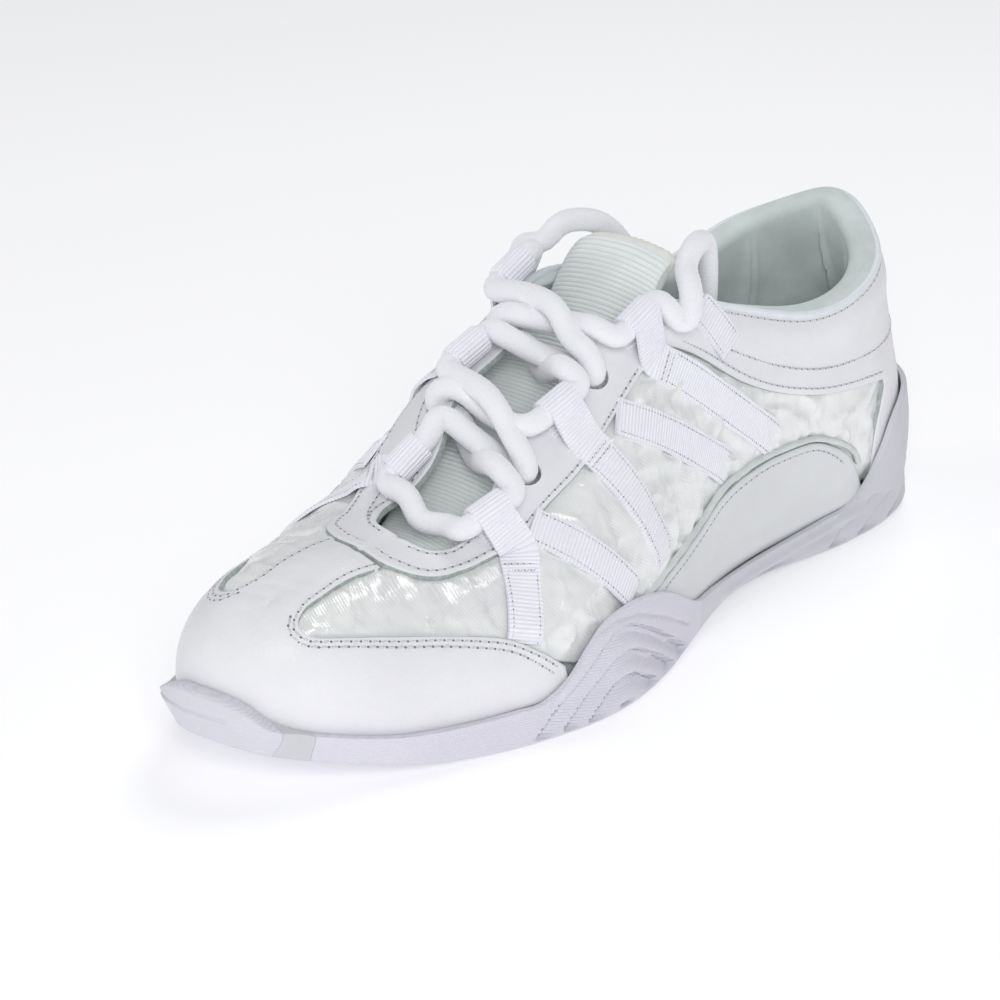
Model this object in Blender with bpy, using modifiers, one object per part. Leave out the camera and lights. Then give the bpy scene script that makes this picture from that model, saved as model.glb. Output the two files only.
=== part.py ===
"""Low-cut cheer shoe, right foot. Metres, toe towards -Y, heel +Y, inner (medial) side +X.

The upper is one smooth last surface. Ribs run from the feather line, where the upper
meets the sole, up to the top line: the vamp ridge over the toes, the throat edge beside
the tongue and the collar rim round the ankle. A place on it is (q, v): q counts the
stations round the shoe and v runs from 0 at the sole to 1 at the top line. Negative q is
the outer (lateral) side. Every layer is a panel drawn in (q, v) at its own depth.
"""
import math

import bmesh
import bpy
import numpy as np
from mathutils import Vector
from mathutils.geometry import delaunay_2d_cdt

MM = 0.001
NAME = "cheer_shoe"

# Feather line point, top line point, rib handle at the foot (length, degrees outward),
# rib handle at the top (length, degrees down), ground line (outward, height). Millimetres.
STATIONS = [
    ((3, -122.5, 19), (8, -108, 40.5), (10, 8), (10, 10), (2.2, 12)),
    ((13.5, -118.5, 17), (8, -106, 41.2), (12, 8), (12, 10), (1.8, 10)),
    ((22, -109, 13.5), (8, -99, 42.8), (15, 8), (16, 10), (1, 7)),
    ((31, -90, 9), (7.5, -84, 44.5), (18, 8), (20, 11), (2, 2.5)),
    ((39, -63, 8), (8, -61, 43), (21, 8), (20, 12), (3.5, 0)),
    ((43.5, -37, 8), (15.5, -44, 50), (24, 4), (16, 25), (3.5, 0)),
    ((38, -5, 8), (17, -14, 66), (28, -2), (18, 35), (2.5, 1)),
    ((29, 27, 9), (17, 16, 80), (28, -6), (20, 50), (1.5, 3.5)),
    ((25, 65, 8.5), (26, 62, 68), (20, 4), (16, 84), (2, 1)),
    ((24, 96, 9), (25.5, 91, 72.5), (20, 8), (16, 82), (2.5, 0)),
    ((16, 118, 10), (13.5, 105, 79), (22, 8), (18, 82), (3, 2.5)),
    ((0.5, 124, 11), (-1, 111.5, 83), (24, 8), (18, 84), (3, 4)),
    ((-15, 117.5, 10), (-13.5, 105, 79.5), (22, 8), (18, 84), (3, 2.5)),
    ((-25, 96, 9), (-23, 91, 74), (20, 8), (16, 84), (2.5, 0)),
    ((-29, 65, 8.5), (-24, 61, 69), (20, 8), (16, 80), (2, 1)),
    ((-33, 27, 9), (-18, 15, 81), (27, 6), (20, 48), (2, 2)),
    ((-39, -5, 8), (-18, -14, 69), (26, 8), (18, 30), (3, 0.5)),
    ((-42.5, -38, 8), (-9, -42, 55), (27, 8), (17, 21), (3.5, 0)),
    ((-39, -63, 8), (8, -61, 43), (26, 8), (24, -12), (3.5, 0)),
    ((-30, -86, 9), (7.5, -84, 44.5), (21, 8), (22, -11), (2, 2)),
    ((-20.5, -107, 14), (8, -99, 42.8), (18, 8), (18, -6), (1, 6)),
    ((-9, -119, 17.5), (8, -106, 41.2), (13, 8), (14, 4), (1.8, 10)),
]
TURN = len(STATIONS)
HEEL = TURN // 2
THROAT = 4

# Height of the rubber's top edge above the ground, by station; the same on both sides.
RUBBER_TOP = [(0, 24.4), (0.5, 23.6), (0.9, 21.6), (1.2, 18.6), (1.45, 17.0), (2, 14.6),
              (3, 10.4), (4, 9), (4.25, 9.1), (4.5, 12.5),
              (4.75, 18), (5.04, 22.4), (5.3, 23.6), (5.6, 22.6), (5.9, 19.4), (6.17, 14.4),
              (6.4, 10.8), (6.65, 10.2), (8.2, 10.2), (8.6, 11.6), (8.8, 15.5), (9.0, 23),
              (9.2, 29), (9.5, 33), (10, 35.3), (11, 36)]

# Layer depths from the last surface and thicknesses, millimetres.
LINING = (-4.7, 1.8)
SATIN = (-2.0, 0.8)
LEATHER = (-0.6, 1.1)
RIBBON = (1.0, 0.7)
RUBBER_IN = 1.05
RUBBER_OUT = 2.5
BUMPER_BULGE = 2.0
BUMPER_END = (1.25, 1.75)

RIB_LENGTH = 58.0
GRID = 7.5
EDGE_STEP = 5.5
LACE_D = 5.6
RIBBON_W = 9.0


def spline(values, knots, period):
    """Closed cubic spline through the station values."""
    count = len(knots)
    gap = np.diff(np.append(knots, period))
    value = np.asarray(values, float)
    matrix = np.zeros((count, count))
    right = np.zeros_like(value)
    for i in range(count):
        j = (i + 1) % count
        matrix[i, i - 1] += gap[i - 1]
        matrix[i, i] += 2 * (gap[i - 1] + gap[i])
        matrix[i, j] += gap[i]
        right[i] = 6 * ((value[j] - value[i]) / gap[i] - (value[i] - value[i - 1]) / gap[i - 1])
    bend = np.linalg.solve(matrix, right)

    def at(x):
        x = np.mod(x, period)
        i = np.clip(np.searchsorted(knots, x, side="right") - 1, 0, count - 1)
        j = (i + 1) % count
        b = (x - knots[i])[:, None]
        h = gap[i][:, None]
        a = h - b
        return ((bend[i] * a ** 3 + bend[j] * b ** 3) / (6 * h)
                + (value[i] / h - bend[i] * h / 6) * a + (value[j] / h - bend[j] * h / 6) * b)
    return at


# Puts the middle of the shoe's bounding box over the origin.
CENTRE = np.array([0.5, 0.0, 0.0])
FEET = np.array([s[0] for s in STATIONS], float) - CENTRE
TOPS = np.array([s[1] for s in STATIONS], float) - CENTRE
SHAPES = np.array([s[2] + s[3] + s[4] for s in STATIONS], float)
SPANS = np.linalg.norm(np.roll(FEET, -1, 0)[:, :2] - FEET[:, :2], axis=1)
KNOTS = np.concatenate([[0], np.cumsum(SPANS)[:-1]])
AROUND = SPANS.sum()
FOOT_AT = spline(FEET, KNOTS, AROUND)
TOP_AT = spline(TOPS, KNOTS, AROUND)
SHAPE_AT = spline(SHAPES, KNOTS, AROUND)


def arc(q):
    """Millimetres round the feather line at station number q."""
    q = np.atleast_1d(np.asarray(q, float))
    laps = np.floor(q / TURN)
    part = q - laps * TURN
    i = np.minimum(part.astype(int), TURN - 1)
    return KNOTS[i] + (part - i) * SPANS[i] + laps * AROUND


def outward(q):
    """Level outward direction of the feather line."""
    x = arc(q)
    along = FOOT_AT(x + 0.2) - FOOT_AT(x - 0.2)
    side = np.stack([along[:, 1], -along[:, 0], 0 * along[:, 0]], -1)
    return side / np.linalg.norm(side, axis=1)[:, None]


def top_line(q):
    """Top line; over the toes the two sides share one ridge."""
    q = np.mod(np.atleast_1d(np.asarray(q, float)), TURN)
    own = TOP_AT(arc(q))
    other = TOP_AT(arc(np.mod(-q, TURN)))
    shared = (np.minimum(q, TURN - q) <= THROAT)[:, None]
    return np.where(shared, (own + other) / 2, own)


def last(q, v):
    """Point of the last surface."""
    q = np.atleast_1d(np.asarray(q, float))
    v = np.broadcast_to(np.asarray(v, float), q.shape)[:, None]
    x = arc(q)
    foot = FOOT_AT(x)
    top = top_line(q)
    shape = SHAPE_AT(x)
    side = outward(q)
    up = np.array([0, 0, 1.0])
    lean = np.radians(shape[:, 1:2])
    drop = np.radians(shape[:, 3:4])
    low = foot + shape[:, 0:1] * (side * np.sin(lean) + up * np.cos(lean))
    high = top + shape[:, 2:3] * (side * np.cos(drop) - up * np.sin(drop))
    w = 1 - v
    return foot * w ** 3 + 3 * low * v * w ** 2 + 3 * high * v ** 2 * w + top * v ** 3


def one_normal(q, v):
    step = 0.01
    around = last(q + step, v) - last(q - step, v)
    upward = last(q, v + step) - last(q, v - step)
    normal = np.cross(around, upward)
    return normal / np.linalg.norm(normal, axis=1)[:, None]


def normals(q, v):
    """Outward normal; on the shared ridge it is the mean of the two sides."""
    q = np.atleast_1d(np.asarray(q, float))
    v = np.broadcast_to(np.asarray(v, float), q.shape)
    near_toe = np.abs(np.mod(q + HEEL, TURN) - HEEL) <= THROAT + 0.01
    safe = np.where(near_toe, np.minimum(v, 0.96), v)
    own = one_normal(q, safe)
    mean = own + one_normal(-q, safe)
    mean = mean / np.linalg.norm(mean, axis=1)[:, None]
    ridge = (near_toe & (v > 0.995))[:, None]
    return np.where(ridge, mean, own)


def skin(q, v, depth):
    """Last surface moved out by depth millimetres."""
    return last(q, v) + normals(q, v) * np.broadcast_to(depth, np.shape(np.atleast_1d(q)))[:, None]


def ground_line(q):
    """Height of the sole's underside; it never dips below the floor."""
    return np.maximum(SHAPE_AT(arc(q))[:, 5], 0.0)


def rubber_height(q):
    q = np.mod(np.atleast_1d(np.asarray(q, float)), TURN)
    q = np.minimum(q, TURN - q)
    knots = np.array(RUBBER_TOP, float)
    i = np.clip(np.searchsorted(knots[:, 0], q, side="right") - 1, 0, len(knots) - 2)
    t = (q - knots[i, 0]) / (knots[i + 1, 0] - knots[i, 0])
    slope = np.gradient(knots[:, 1], knots[:, 0])
    h = knots[i + 1, 0] - knots[i, 0]
    return ((2 * t ** 3 - 3 * t ** 2 + 1) * knots[i, 1] + (t ** 3 - 2 * t ** 2 + t) * h * slope[i]
            + (3 * t ** 2 - 2 * t ** 3) * knots[i + 1, 1] + (t ** 3 - t ** 2) * h * slope[i + 1])


def rib_at_height(q, height):
    """The v at which each rib passes a height."""
    low = np.zeros(len(q))
    high = np.full(len(q), 0.9)
    for _ in range(30):
        mid = (low + high) / 2
        under = last(q, mid)[:, 2] < height
        low = np.where(under, mid, low)
        high = np.where(under, high, mid)
    return (low + high) / 2


# ---- scene helpers

def clean_scene():
    for item in list(bpy.data.objects):
        bpy.data.objects.remove(item, do_unlink=True)


def group(name):
    found = bpy.data.collections.new(name)
    bpy.context.scene.collection.children.link(found)
    return found


def material(name, colour, rough, sheen=0.0, coat=0.0):
    mat = bpy.data.materials.new(name)
    mat.use_nodes = True
    shader = mat.node_tree.nodes["Principled BSDF"]
    shader.inputs["Base Color"].default_value = (*colour, 1)
    shader.inputs["Roughness"].default_value = rough
    shader.inputs["Sheen Weight"].default_value = sheen
    shader.inputs["Coat Weight"].default_value = coat
    return mat


def new_object(name, verts, faces, mat):
    mesh = bpy.data.meshes.new(name)
    mesh.from_pydata([Vector(p) * MM for p in verts], [], faces)
    mesh.materials.append(mat)
    item = bpy.data.objects.new(name, mesh)
    PARTS.objects.link(item)
    return item


def tidy_mesh(item, weld=0.00005):
    """Weld shared points and turn every face outward."""
    bm = bmesh.new()
    bm.from_mesh(item.data)
    bmesh.ops.remove_doubles(bm, verts=bm.verts, dist=weld)
    bmesh.ops.recalc_face_normals(bm, faces=bm.faces)
    bm.to_mesh(item.data)
    bm.free()
    return item


def tube(name, points, radius, mat, sides=2, closed=False):
    """Round cord along points, with filled ends."""
    curve = bpy.data.curves.new(name, "CURVE")
    curve.dimensions = "3D"
    curve.bevel_depth = radius * MM
    curve.bevel_resolution = sides
    curve.use_fill_caps = True
    line = curve.splines.new("POLY")
    line.points.add(len(points) - 1)
    for point, place in zip(line.points, points):
        point.co = (*(float(c) * MM for c in place), 1)
    line.use_cyclic_u = closed
    curve.materials.append(mat)
    item = bpy.data.objects.new(name, curve)
    PARTS.objects.link(item)
    return item


# ---- panels drawn on the last

def flow(points, step=EDGE_STEP):
    """Smooth run through (q, v) points; a run along the ridge keeps even station steps."""
    pts = np.array(points, float)
    if len(pts) == 2 and pts[0, 1] == 1 and pts[1, 1] == 1:
        count = max(1, int(round(abs(pts[1, 0] - pts[0, 0]) / 0.5)))
        if pts[0, 0] * pts[1, 0] < 0:
            count += count % 2
        return [tuple(pts[0] + (pts[1] - pts[0]) * i / count) for i in range(count)]
    flat = np.stack([arc(pts[:, 0]), pts[:, 1] * RIB_LENGTH], -1)
    ends = np.vstack([2 * flat[0] - flat[1], flat, 2 * flat[-1] - flat[-2]])
    mark = np.vstack([2 * pts[0] - pts[1], pts, 2 * pts[-1] - pts[-2]])
    out = []
    for i in range(1, len(ends) - 2):
        length = np.linalg.norm(ends[i + 1] - ends[i])
        count = max(1, int(round(length / step)))
        for k in range(count):
            t = k / count
            a, b, c, d = mark[i - 1:i + 3]
            out.append(tuple(0.5 * ((2 * b) + (c - a) * t + (2 * a - 5 * b + 4 * c - d) * t * t
                                    + (3 * b - a - 3 * c + d) * t ** 3)))
    return out


def outline(runs):
    loop = []
    for run in runs:
        loop += flow(run)
    return loop


def inside(loop, point):
    hit = False
    for i, (x1, y1) in enumerate(loop):
        x2, y2 = loop[i - 1]
        if (y1 > point[1]) != (y2 > point[1]):
            if point[0] < (x2 - x1) * (point[1] - y1) / (y2 - y1) + x1:
                hit = not hit
    return hit


def fill(loop, grid):
    """Triangles inside an outline, on an even grid of inner points."""
    marks = np.array(loop, float)
    flat = np.stack([arc(marks[:, 0]), marks[:, 1] * RIB_LENGTH], -1)
    low = flat.min(0)
    high = flat.max(0)
    edge = [tuple(p) for p in flat]
    inner = []
    row = 0
    y = low[1] + grid * 0.5
    while y < high[1]:
        x = low[0] + grid * (0.5 if row % 2 else 1.0)
        while x < high[0]:
            place = np.array([x, y])
            if np.min(np.linalg.norm(flat - place, axis=1)) > grid * 0.55 and inside(edge, place):
                inner.append((x, y))
            x += grid
        y += grid * 0.87
        row += 1
    places = [Vector(p) for p in edge + inner]
    count = len(edge)
    rim = [(i, (i + 1) % count) for i in range(count)]
    verts, _, faces, _, _, _ = delaunay_2d_cdt(places, rim, [], 0, 1e-6)
    kept = []
    for face in faces:
        middle = sum((verts[i] for i in face), Vector((0, 0))) / len(face)
        if inside(edge, middle):
            kept.append(tuple(face))
    return [(p.x, p.y / RIB_LENGTH) for p in verts], kept


def station(x):
    """Station number at x millimetres round the feather line."""
    x = np.asarray(x, float)
    laps = np.floor(x / AROUND)
    part = x - laps * AROUND
    i = np.clip(np.searchsorted(KNOTS, part, side="right") - 1, 0, TURN - 1)
    return i + (part - KNOTS[i]) / SPANS[i] + laps * TURN


def panel(name, outlines, layer, mat, grid=GRID):
    """Sheet panel over one or more outlines, thickened outward from the layer depth."""
    verts = []
    faces = []
    for runs in outlines:
        marks, tris = fill(outline(runs), grid)
        marks = np.array(marks)
        start = len(verts)
        q = station(marks[:, 0])
        v = np.maximum(marks[:, 1], 0)
        verts += [tuple(p) for p in skin(q, v, layer[0])]
        faces += [tuple(i + start for i in tri) for tri in tris]
    item = tidy_mesh(new_object(name, verts, faces, mat), 0.0001)
    up_check(item)
    thick = item.modifiers.new("thickness", "SOLIDIFY")
    thick.thickness = layer[1] * MM
    thick.offset = 1
    return item


def up_check(item):
    """Face an open sheet away from the middle of the shoe."""
    mesh = item.data
    centre = Vector((0, 0, 0.03))
    score = 0.0
    for face in mesh.polygons:
        away = face.center - centre
        away.y *= 0.25
        score += away.dot(face.normal) * face.area
    if score < 0:
        mesh.flip_normals()


def mirrored(runs):
    """The same outline on the lateral side."""
    return [[(-q, v) for q, v in reversed(run)] for run in reversed(runs)]


# ---- outlines, as corner-to-corner runs of (station, rib fraction)

TOE_LEATHER = [
    [(-4.6, 0), (4.6, 0)],
    [(4.6, 0), (4.55, 0.12)],
    [(4.55, 0.12), (4.3, 0.23), (4.0, 0.34), (3.5, 0.44), (3.0, 0.50), (2.4, 0.55),
     (1.95, 0.60), (1.72, 0.70), (1.95, 0.79), (2.4, 0.83), (2.8, 0.85), (3.26, 0.86)],
    [(3.26, 0.86), (3.15, 1)],
    [(3.15, 1), (-3.15, 1)],
    [(-3.15, 1), (-3.26, 0.86)],
    [(-3.26, 0.86), (-2.8, 0.85), (-2.4, 0.83), (-1.95, 0.79), (-1.72, 0.70), (-1.95, 0.60),
     (-2.4, 0.55), (-3.0, 0.50), (-3.5, 0.44), (-4.0, 0.34), (-4.3, 0.23), (-4.55, 0.12)],
    [(-4.55, 0.12), (-4.6, 0)],
]
# Throat edge of the eyestay on the medial and lateral side, from the toe up. A rib fraction
# over 1 carries the eyestay past the top line, in over the tongue.
MEDIAL_EDGE = [(3.75, 1), (3.9, 0.88), (4.15, 0.84), (4.5, 0.87), (4.88, 0.955), (5.2, 1.05),
               (5.74, 1.09), (6.1, 1.09), (6.38, 1.06), (6.62, 1.04)]
LATERAL_EDGE = [(3.75, 1), (3.9, 0.88), (4.15, 0.86), (4.4, 0.93), (4.6, 1.01), (5.0, 1.18),
                (5.4, 1.26), (6.0, 1.27), (6.3, 1.22), (6.62, 1.12)]
TONGUE_EDGE = [(3.75, 1.0), (3.9, 0.88), (4.15, 0.84), (4.5, 0.87), (4.85, 0.93), (5.2, 0.98),
               (5.7, 0.992), (8.0, 0.992)]
EYESTAY_OUTER = [
    [(3.2, 1), (3.31, 0.88), (3.6, 0.76), (4.0, 0.71), (4.4, 0.71), (4.8, 0.71), (5.2, 0.76),
     (5.6, 0.775), (6.0, 0.81), (6.5, 0.83)],
    [(6.5, 0.83), (6.62, 0.84)],
]


def eyestay_outline(throat_edge):
    top = throat_edge[-1]
    return EYESTAY_OUTER + [[(6.62, 0.84), top], list(reversed(throat_edge)),
                            [throat_edge[0], (3.2, 1)]]


EYESTAY = [eyestay_outline(MEDIAL_EDGE), mirrored(eyestay_outline(LATERAL_EDGE))]
COLLAR = [
    [(6.72, 0.985), (8, 0.98), (9.5, 0.98), (11, 0.98), (12.5, 0.98), (14, 0.98), (15.28, 0.985)],
    [(15.28, 0.985), (15.28, 0.86)],
    [(15.28, 0.86), (15.0, 0.78), (14.58, 0.66), (14.0, 0.60), (13.5, 0.55), (12.85, 0.47)],
    [(12.85, 0.47), (13.05, 0.30), (13.1, 0.04)],
    [(13.1, 0.04), (12, 0.03), (11, 0.03), (10, 0.03), (8.9, 0.04)],
    [(8.9, 0.04), (8.95, 0.30), (9.15, 0.47)],
    [(9.15, 0.47), (8.5, 0.55), (8.0, 0.60), (7.42, 0.66), (7.0, 0.78), (6.72, 0.86)],
    [(6.72, 0.86), (6.72, 0.985)],
]
ARCH = [
    [(5.45, 0.0), (5.6, 0.165)],
    [(5.6, 0.165), (5.96, 0.18), (6.4, 0.185), (6.8, 0.21), (7.3, 0.29), (7.7, 0.36),
     (8.05, 0.385), (8.35, 0.33), (8.6, 0.24), (8.78, 0.1), (8.82, 0.0)],
    [(8.82, 0.0), (7.5, 0.0), (6.5, 0.0), (5.45, 0.0)],
]
PIPING = [(5.62, 0.205), (5.96, 0.218), (6.4, 0.222), (6.8, 0.248), (7.27, 0.33), (7.7, 0.40),
          (8.05, 0.425), (8.37, 0.37), (8.62, 0.29), (8.72, 0.22)]
SATIN_PANEL = [
    [(1.6, 0.70), (1.85, 0.56), (2.4, 0.50), (3.0, 0.45), (3.5, 0.39), (4.0, 0.29),
     (4.3, 0.18), (4.7, 0.10)],
    [(4.7, 0.10), (5.6, 0.10), (6.4, 0.14), (6.8, 0.17), (7.3, 0.25), (7.7, 0.32),
     (8.05, 0.345), (8.35, 0.29), (8.6, 0.20), (8.75, 0.06)],
    [(8.75, 0.06), (9.05, 0.10)],
    [(9.05, 0.10), (9.12, 0.30), (9.25, 0.52)],
    [(9.25, 0.52), (8.5, 0.60), (8.0, 0.65), (7.46, 0.71), (7.05, 0.82), (6.7, 0.90)],
    [(6.7, 0.90), (6.5, 0.86), (6.2, 0.83), (6.0, 0.825), (5.6, 0.795), (5.2, 0.78),
     (4.8, 0.75), (4.4, 0.75), (4.0, 0.75), (3.65, 0.79), (3.35, 0.92), (2.8, 0.90),
     (2.4, 0.88), (1.9, 0.83)],
    [(1.9, 0.83), (1.6, 0.70)],
]
TOE_PUFF = [
    [(-1.35, 0.05), (1.35, 0.05)],
    [(1.35, 0.05), (1.3, 0.5), (1.2, 0.86)],
    [(1.2, 0.86), (-1.2, 0.86)],
    [(-1.2, 0.86), (-1.3, 0.5), (-1.35, 0.05)],
]
COUNTER = [
    [(9.5, 0.05), (11, 0.05), (12.5, 0.05)],
    [(12.5, 0.05), (12.5, 0.5)],
    [(12.5, 0.5), (11.7, 0.66), (11, 0.7), (10.3, 0.66), (9.5, 0.5)],
    [(9.5, 0.5), (9.5, 0.05)],
]
VAMP_LINING = [
    [(-4.45, 0), (4.45, 0)],
    [(4.45, 0), (4.45, 0.78)],
    [(4.45, 0.78), (4.1, 0.78), (3.8, 0.84), (3.6, 1)],
    [(3.6, 1), (-3.6, 1)],
    [(-3.6, 1), (-3.8, 0.84), (-4.1, 0.78), (-4.45, 0.78)],
    [(-4.45, 0.78), (-4.45, 0)],
]
QUARTER_LINING = [
    [(4.47, 0.0), (6.2, 0.0)],
    [(6.2, 0.0), (6.2, 0.82)],
    [(6.2, 0.82), (5.6, 0.81), (5.0, 0.79), (4.47, 0.78)],
    [(4.47, 0.78), (4.47, 0.0)],
]
ANKLE_LINING = [
    [(6.22, 0.0), (8.6, 0.0)],
    [(8.6, 0.0), (8.6, 0.86)],
    [(8.6, 0.86), (7.6, 0.86), (7.0, 0.86), (6.22, 0.82)],
    [(6.22, 0.82), (6.22, 0.0)],
]
HEEL_LINING = [
    [(8.62, 0.0), (11, 0.0), (13.38, 0.0)],
    [(13.38, 0.0), (13.38, 0.86)],
    [(13.38, 0.86), (11, 0.88), (8.62, 0.86)],
    [(8.62, 0.86), (8.62, 0.0)],
]


# ---- sole

def around_samples():
    steps = list(np.arange(0, 8, 0.25)) + list(np.arange(8, 14, 1 / 6)) + list(np.arange(14, 22, 0.25))
    half = [q for q in steps if q <= HEEL + 1e-6]
    return np.array(half + [TURN - q for q in reversed(half[1:-1])])


def stack(name, rings, mat):
    """Closed body from stacked rings; the first and last are capped straight across."""
    count = len(rings[0])
    verts = [tuple(p) for ring in rings for p in ring]
    faces = []
    for level in range(len(rings) - 1):
        for i in range(count):
            j = (i + 1) % count
            a = level * count
            faces.append((a + i, a + j, a + count + j, a + count + i))
    for base in (0, (len(rings) - 1) * count):
        half = count // 2
        for i in range(half):
            left = (count - i) % count
            cap = [base + i, base + i + 1, base + (count - i - 1) % count, base + left]
            faces.append(tuple(dict.fromkeys(cap)))
    return tidy_mesh(new_object(name, verts, faces, mat))


def level_ring(q, inset, height):
    ring = FOOT_AT(arc(q)) - outward(q) * inset
    ring[:, 2] = height
    return ring


FLOOR = 2.4
SPLITS = [("outsole_toe_bumper", -140, -117.9), ("outsole_toe_segment", -117.4, -111.2),
          ("outsole_forefoot", -110.7, 8.6), ("outsole_shank", 9.1, 58.0),
          ("outsole_heel", 58.5, 140)]


def rubber_shell(name, mat):
    """The cupped rubber sole before it is split."""
    q = around_samples()
    shape = SHAPE_AT(arc(q))
    ground = ground_line(q)
    top = rib_at_height(q, rubber_height(q))
    turn = np.minimum(q, TURN - q)
    fade = np.clip((BUMPER_END[1] - turn) / (BUMPER_END[1] - BUMPER_END[0]), 0, 1)
    bulge = BUMPER_BULGE * fade ** 2 * (3 - 2 * fade)
    rings = [level_ring(q, 2.0 - shape[:, 4:5], ground), level_ring(q, -shape[:, 4:5], ground + 1.0)]
    for part in (0.0, 0.35, 0.7, 1.0):
        rings.append(skin(q, top * part, (RUBBER_OUT if part < 1 else RUBBER_OUT - 0.4) + bulge))
    for part in (1.0, 0.7, 0.35, 0.0):
        rings.append(skin(q, top * part, RUBBER_IN))
    rings.append(level_ring(q, 1.5, ground + FLOOR))
    return stack(name, rings, mat)


def box_cutter(name, near_y, far_y):
    bm = bmesh.new()
    bmesh.ops.create_cube(bm, size=1)
    for vert in bm.verts:
        vert.co.x *= 200 * MM
        vert.co.z *= 200 * MM
        vert.co.y = (far_y if vert.co.y > 0 else near_y) * MM
    mesh = bpy.data.meshes.new(name)
    bm.to_mesh(mesh)
    bm.free()
    item = bpy.data.objects.new(name, mesh)
    CUTTERS.objects.link(item)
    item.hide_render = True
    item.display_type = "WIRE"
    return item


def cut(item, cutter, operation):
    change = item.modifiers.new("cut", "BOOLEAN")
    change.operation = operation
    change.solver = "EXACT"
    change.object = cutter


def build_sole(rubber, plain, shank):
    looks = {"outsole_toe_segment": plain, "outsole_shank": shank}
    for name, near_y, far_y in SPLITS:
        piece = rubber_shell(name, looks.get(name, rubber))
        cut(piece, box_cutter("cutter_" + name, near_y, far_y), "INTERSECT")


def flat_layer(name, inset_low, inset_high, low, high, mat):
    q = around_samples()
    ring_low = level_ring(q, inset_low, low(q))
    ring_high = level_ring(q, inset_high, high(q))
    return stack(name, [ring_low, ring_high], mat)


def build_insoles(foam, board, cloth):
    foot = lambda q: FOOT_AT(arc(q))[:, 2]
    flat_layer("midsole", 2.0, 0.6, lambda q: ground_line(q) + FLOOR + 0.5,
               lambda q: foot(q) - 0.9, foam)
    flat_layer("insole_board", 6.2, 6.2, lambda q: foot(q) - 0.3, lambda q: foot(q) + 0.9, board)
    flat_layer("sockliner", 6.6, 6.6, lambda q: foot(q) + 1.5, lambda q: foot(q) + 5.0, cloth)


# ---- throat frame, tongue, ribbons and lace

def edge_rib(q, side, tongue=False):
    """Rib fraction of the throat edge, or of the line the tongue hangs from."""
    table = np.array(TONGUE_EDGE if tongue else MEDIAL_EDGE if side > 0 else LATERAL_EDGE)
    return float(np.interp(q, table[:, 0], table[:, 1]))


def edge(q, side, tongue=False):
    """Throat edge point, direction into the throat and upward normal at station q."""
    own = q if side > 0 else TURN - q
    top = last([own], [edge_rib(q, side, tongue)])[0]
    other = last([TURN - own], [edge_rib(q, -side, tongue)])[0]
    into = (other - top) / np.linalg.norm(other - top)
    along = (top_line([q + 0.05])[0] + top_line([TURN - q - 0.05])[0]
             - top_line([q - 0.05])[0] - top_line([TURN - q + 0.05])[0])
    up = np.cross(into * side, along)
    up = up / np.linalg.norm(up)
    if up[2] < 0:
        up = -up
    return own, top, into, up


def rib_scale(own):
    """Millimetres to a whole rib fraction near the top line."""
    return np.linalg.norm(last([own], [1.0])[0] - last([own], [0.9])[0]) * 10


def beside(q, side, out, height):
    """Point near the throat edge: out mm onto the eyestay (negative into the throat), height above."""
    own, top, into, up = edge(q, side)
    v = edge_rib(q, side) - max(out, 0) / rib_scale(own)
    normal = normals([own], [min(v, 1.2)])[0]
    mix = min(max((out + 4) / 6, 0), 1)
    normal = normal * mix + up * (1 - mix)
    normal = normal / np.linalg.norm(normal)
    return last([own], [v])[0] + into * max(-out, 0) + normal * height


def middle(q, height):
    _, near, _, up = edge(q, 1)
    far = edge(q, -1)[1]
    return (near + far) / 2 + up * height


def smooth_path(points, bend=26, reach=15):
    """Catmull-Rom curve through points, thinned where it runs straight."""
    pts = np.array(points, float)
    ends = np.vstack([2 * pts[0] - pts[1], pts, 2 * pts[-1] - pts[-2]])
    dense = []
    for i in range(1, len(ends) - 2):
        for k in range(12):
            t = k / 12
            a, b, c, d = ends[i - 1:i + 3]
            dense.append(0.5 * ((2 * b) + (c - a) * t + (2 * a - 5 * b + 4 * c - d) * t * t
                                + (3 * b - a - 3 * c + d) * t ** 3))
    dense.append(pts[-1])
    kept = [dense[0]]
    heading = dense[1] - dense[0]
    for i in range(1, len(dense) - 1):
        ahead = dense[i + 1] - dense[i]
        cosine = heading.dot(ahead) / (np.linalg.norm(heading) * np.linalg.norm(ahead) + 1e-12)
        turn = math.degrees(math.acos(max(-1.0, min(1.0, cosine))))
        far = np.linalg.norm(dense[i] - kept[-1])
        if far > 2.0 and (turn > bend or far > reach):
            kept.append(dense[i])
            heading = ahead
    kept.append(dense[-1])
    return kept


LOOP_OUT = 3.0
LOOP_UP = 5.0
LOOP_GAP = 0.8
LOOP_RISE = 12.0
LOOP_HALF = 8.0
UNDER = -3.9
OVER = 4.3
REACH = 3.0
LOOPS = (4.72, 5.74, 6.62)
HOLES = (5.28, 6.14)
HOLE_OUT = 5.6
HOLE_R = 3.9
TUCK = [(18.9, 21.5, 88), (17.8, 26.5, 92), (15.0, 34.0, 90.0), (12.0, 39.0, 81),
        (10.5, 40.5, 69), (10.0, 39.5, 58), (9.5, 36.5, 48)]
TOP_Q = (6.92, 6.98)
TOP_V = 0.87
TUCK_LAG = (0.0, -7.0)


def hole_turn(q, side, leave):
    """From under the eyestay edge up through the hole and back over the edge."""
    return [beside(q, side, -REACH, -3.6), beside(q, side, 0.5, UNDER),
            beside(q, side, HOLE_OUT - 1.5, -3.0), beside(q, side, HOLE_OUT + 0.1, 0.1),
            beside(q + 0.02, side, HOLE_OUT - 1.5, 3.4), beside(q + 0.06, side, 0.5, OVER),
            beside(q + leave, side, -REACH, OVER)]


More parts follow.
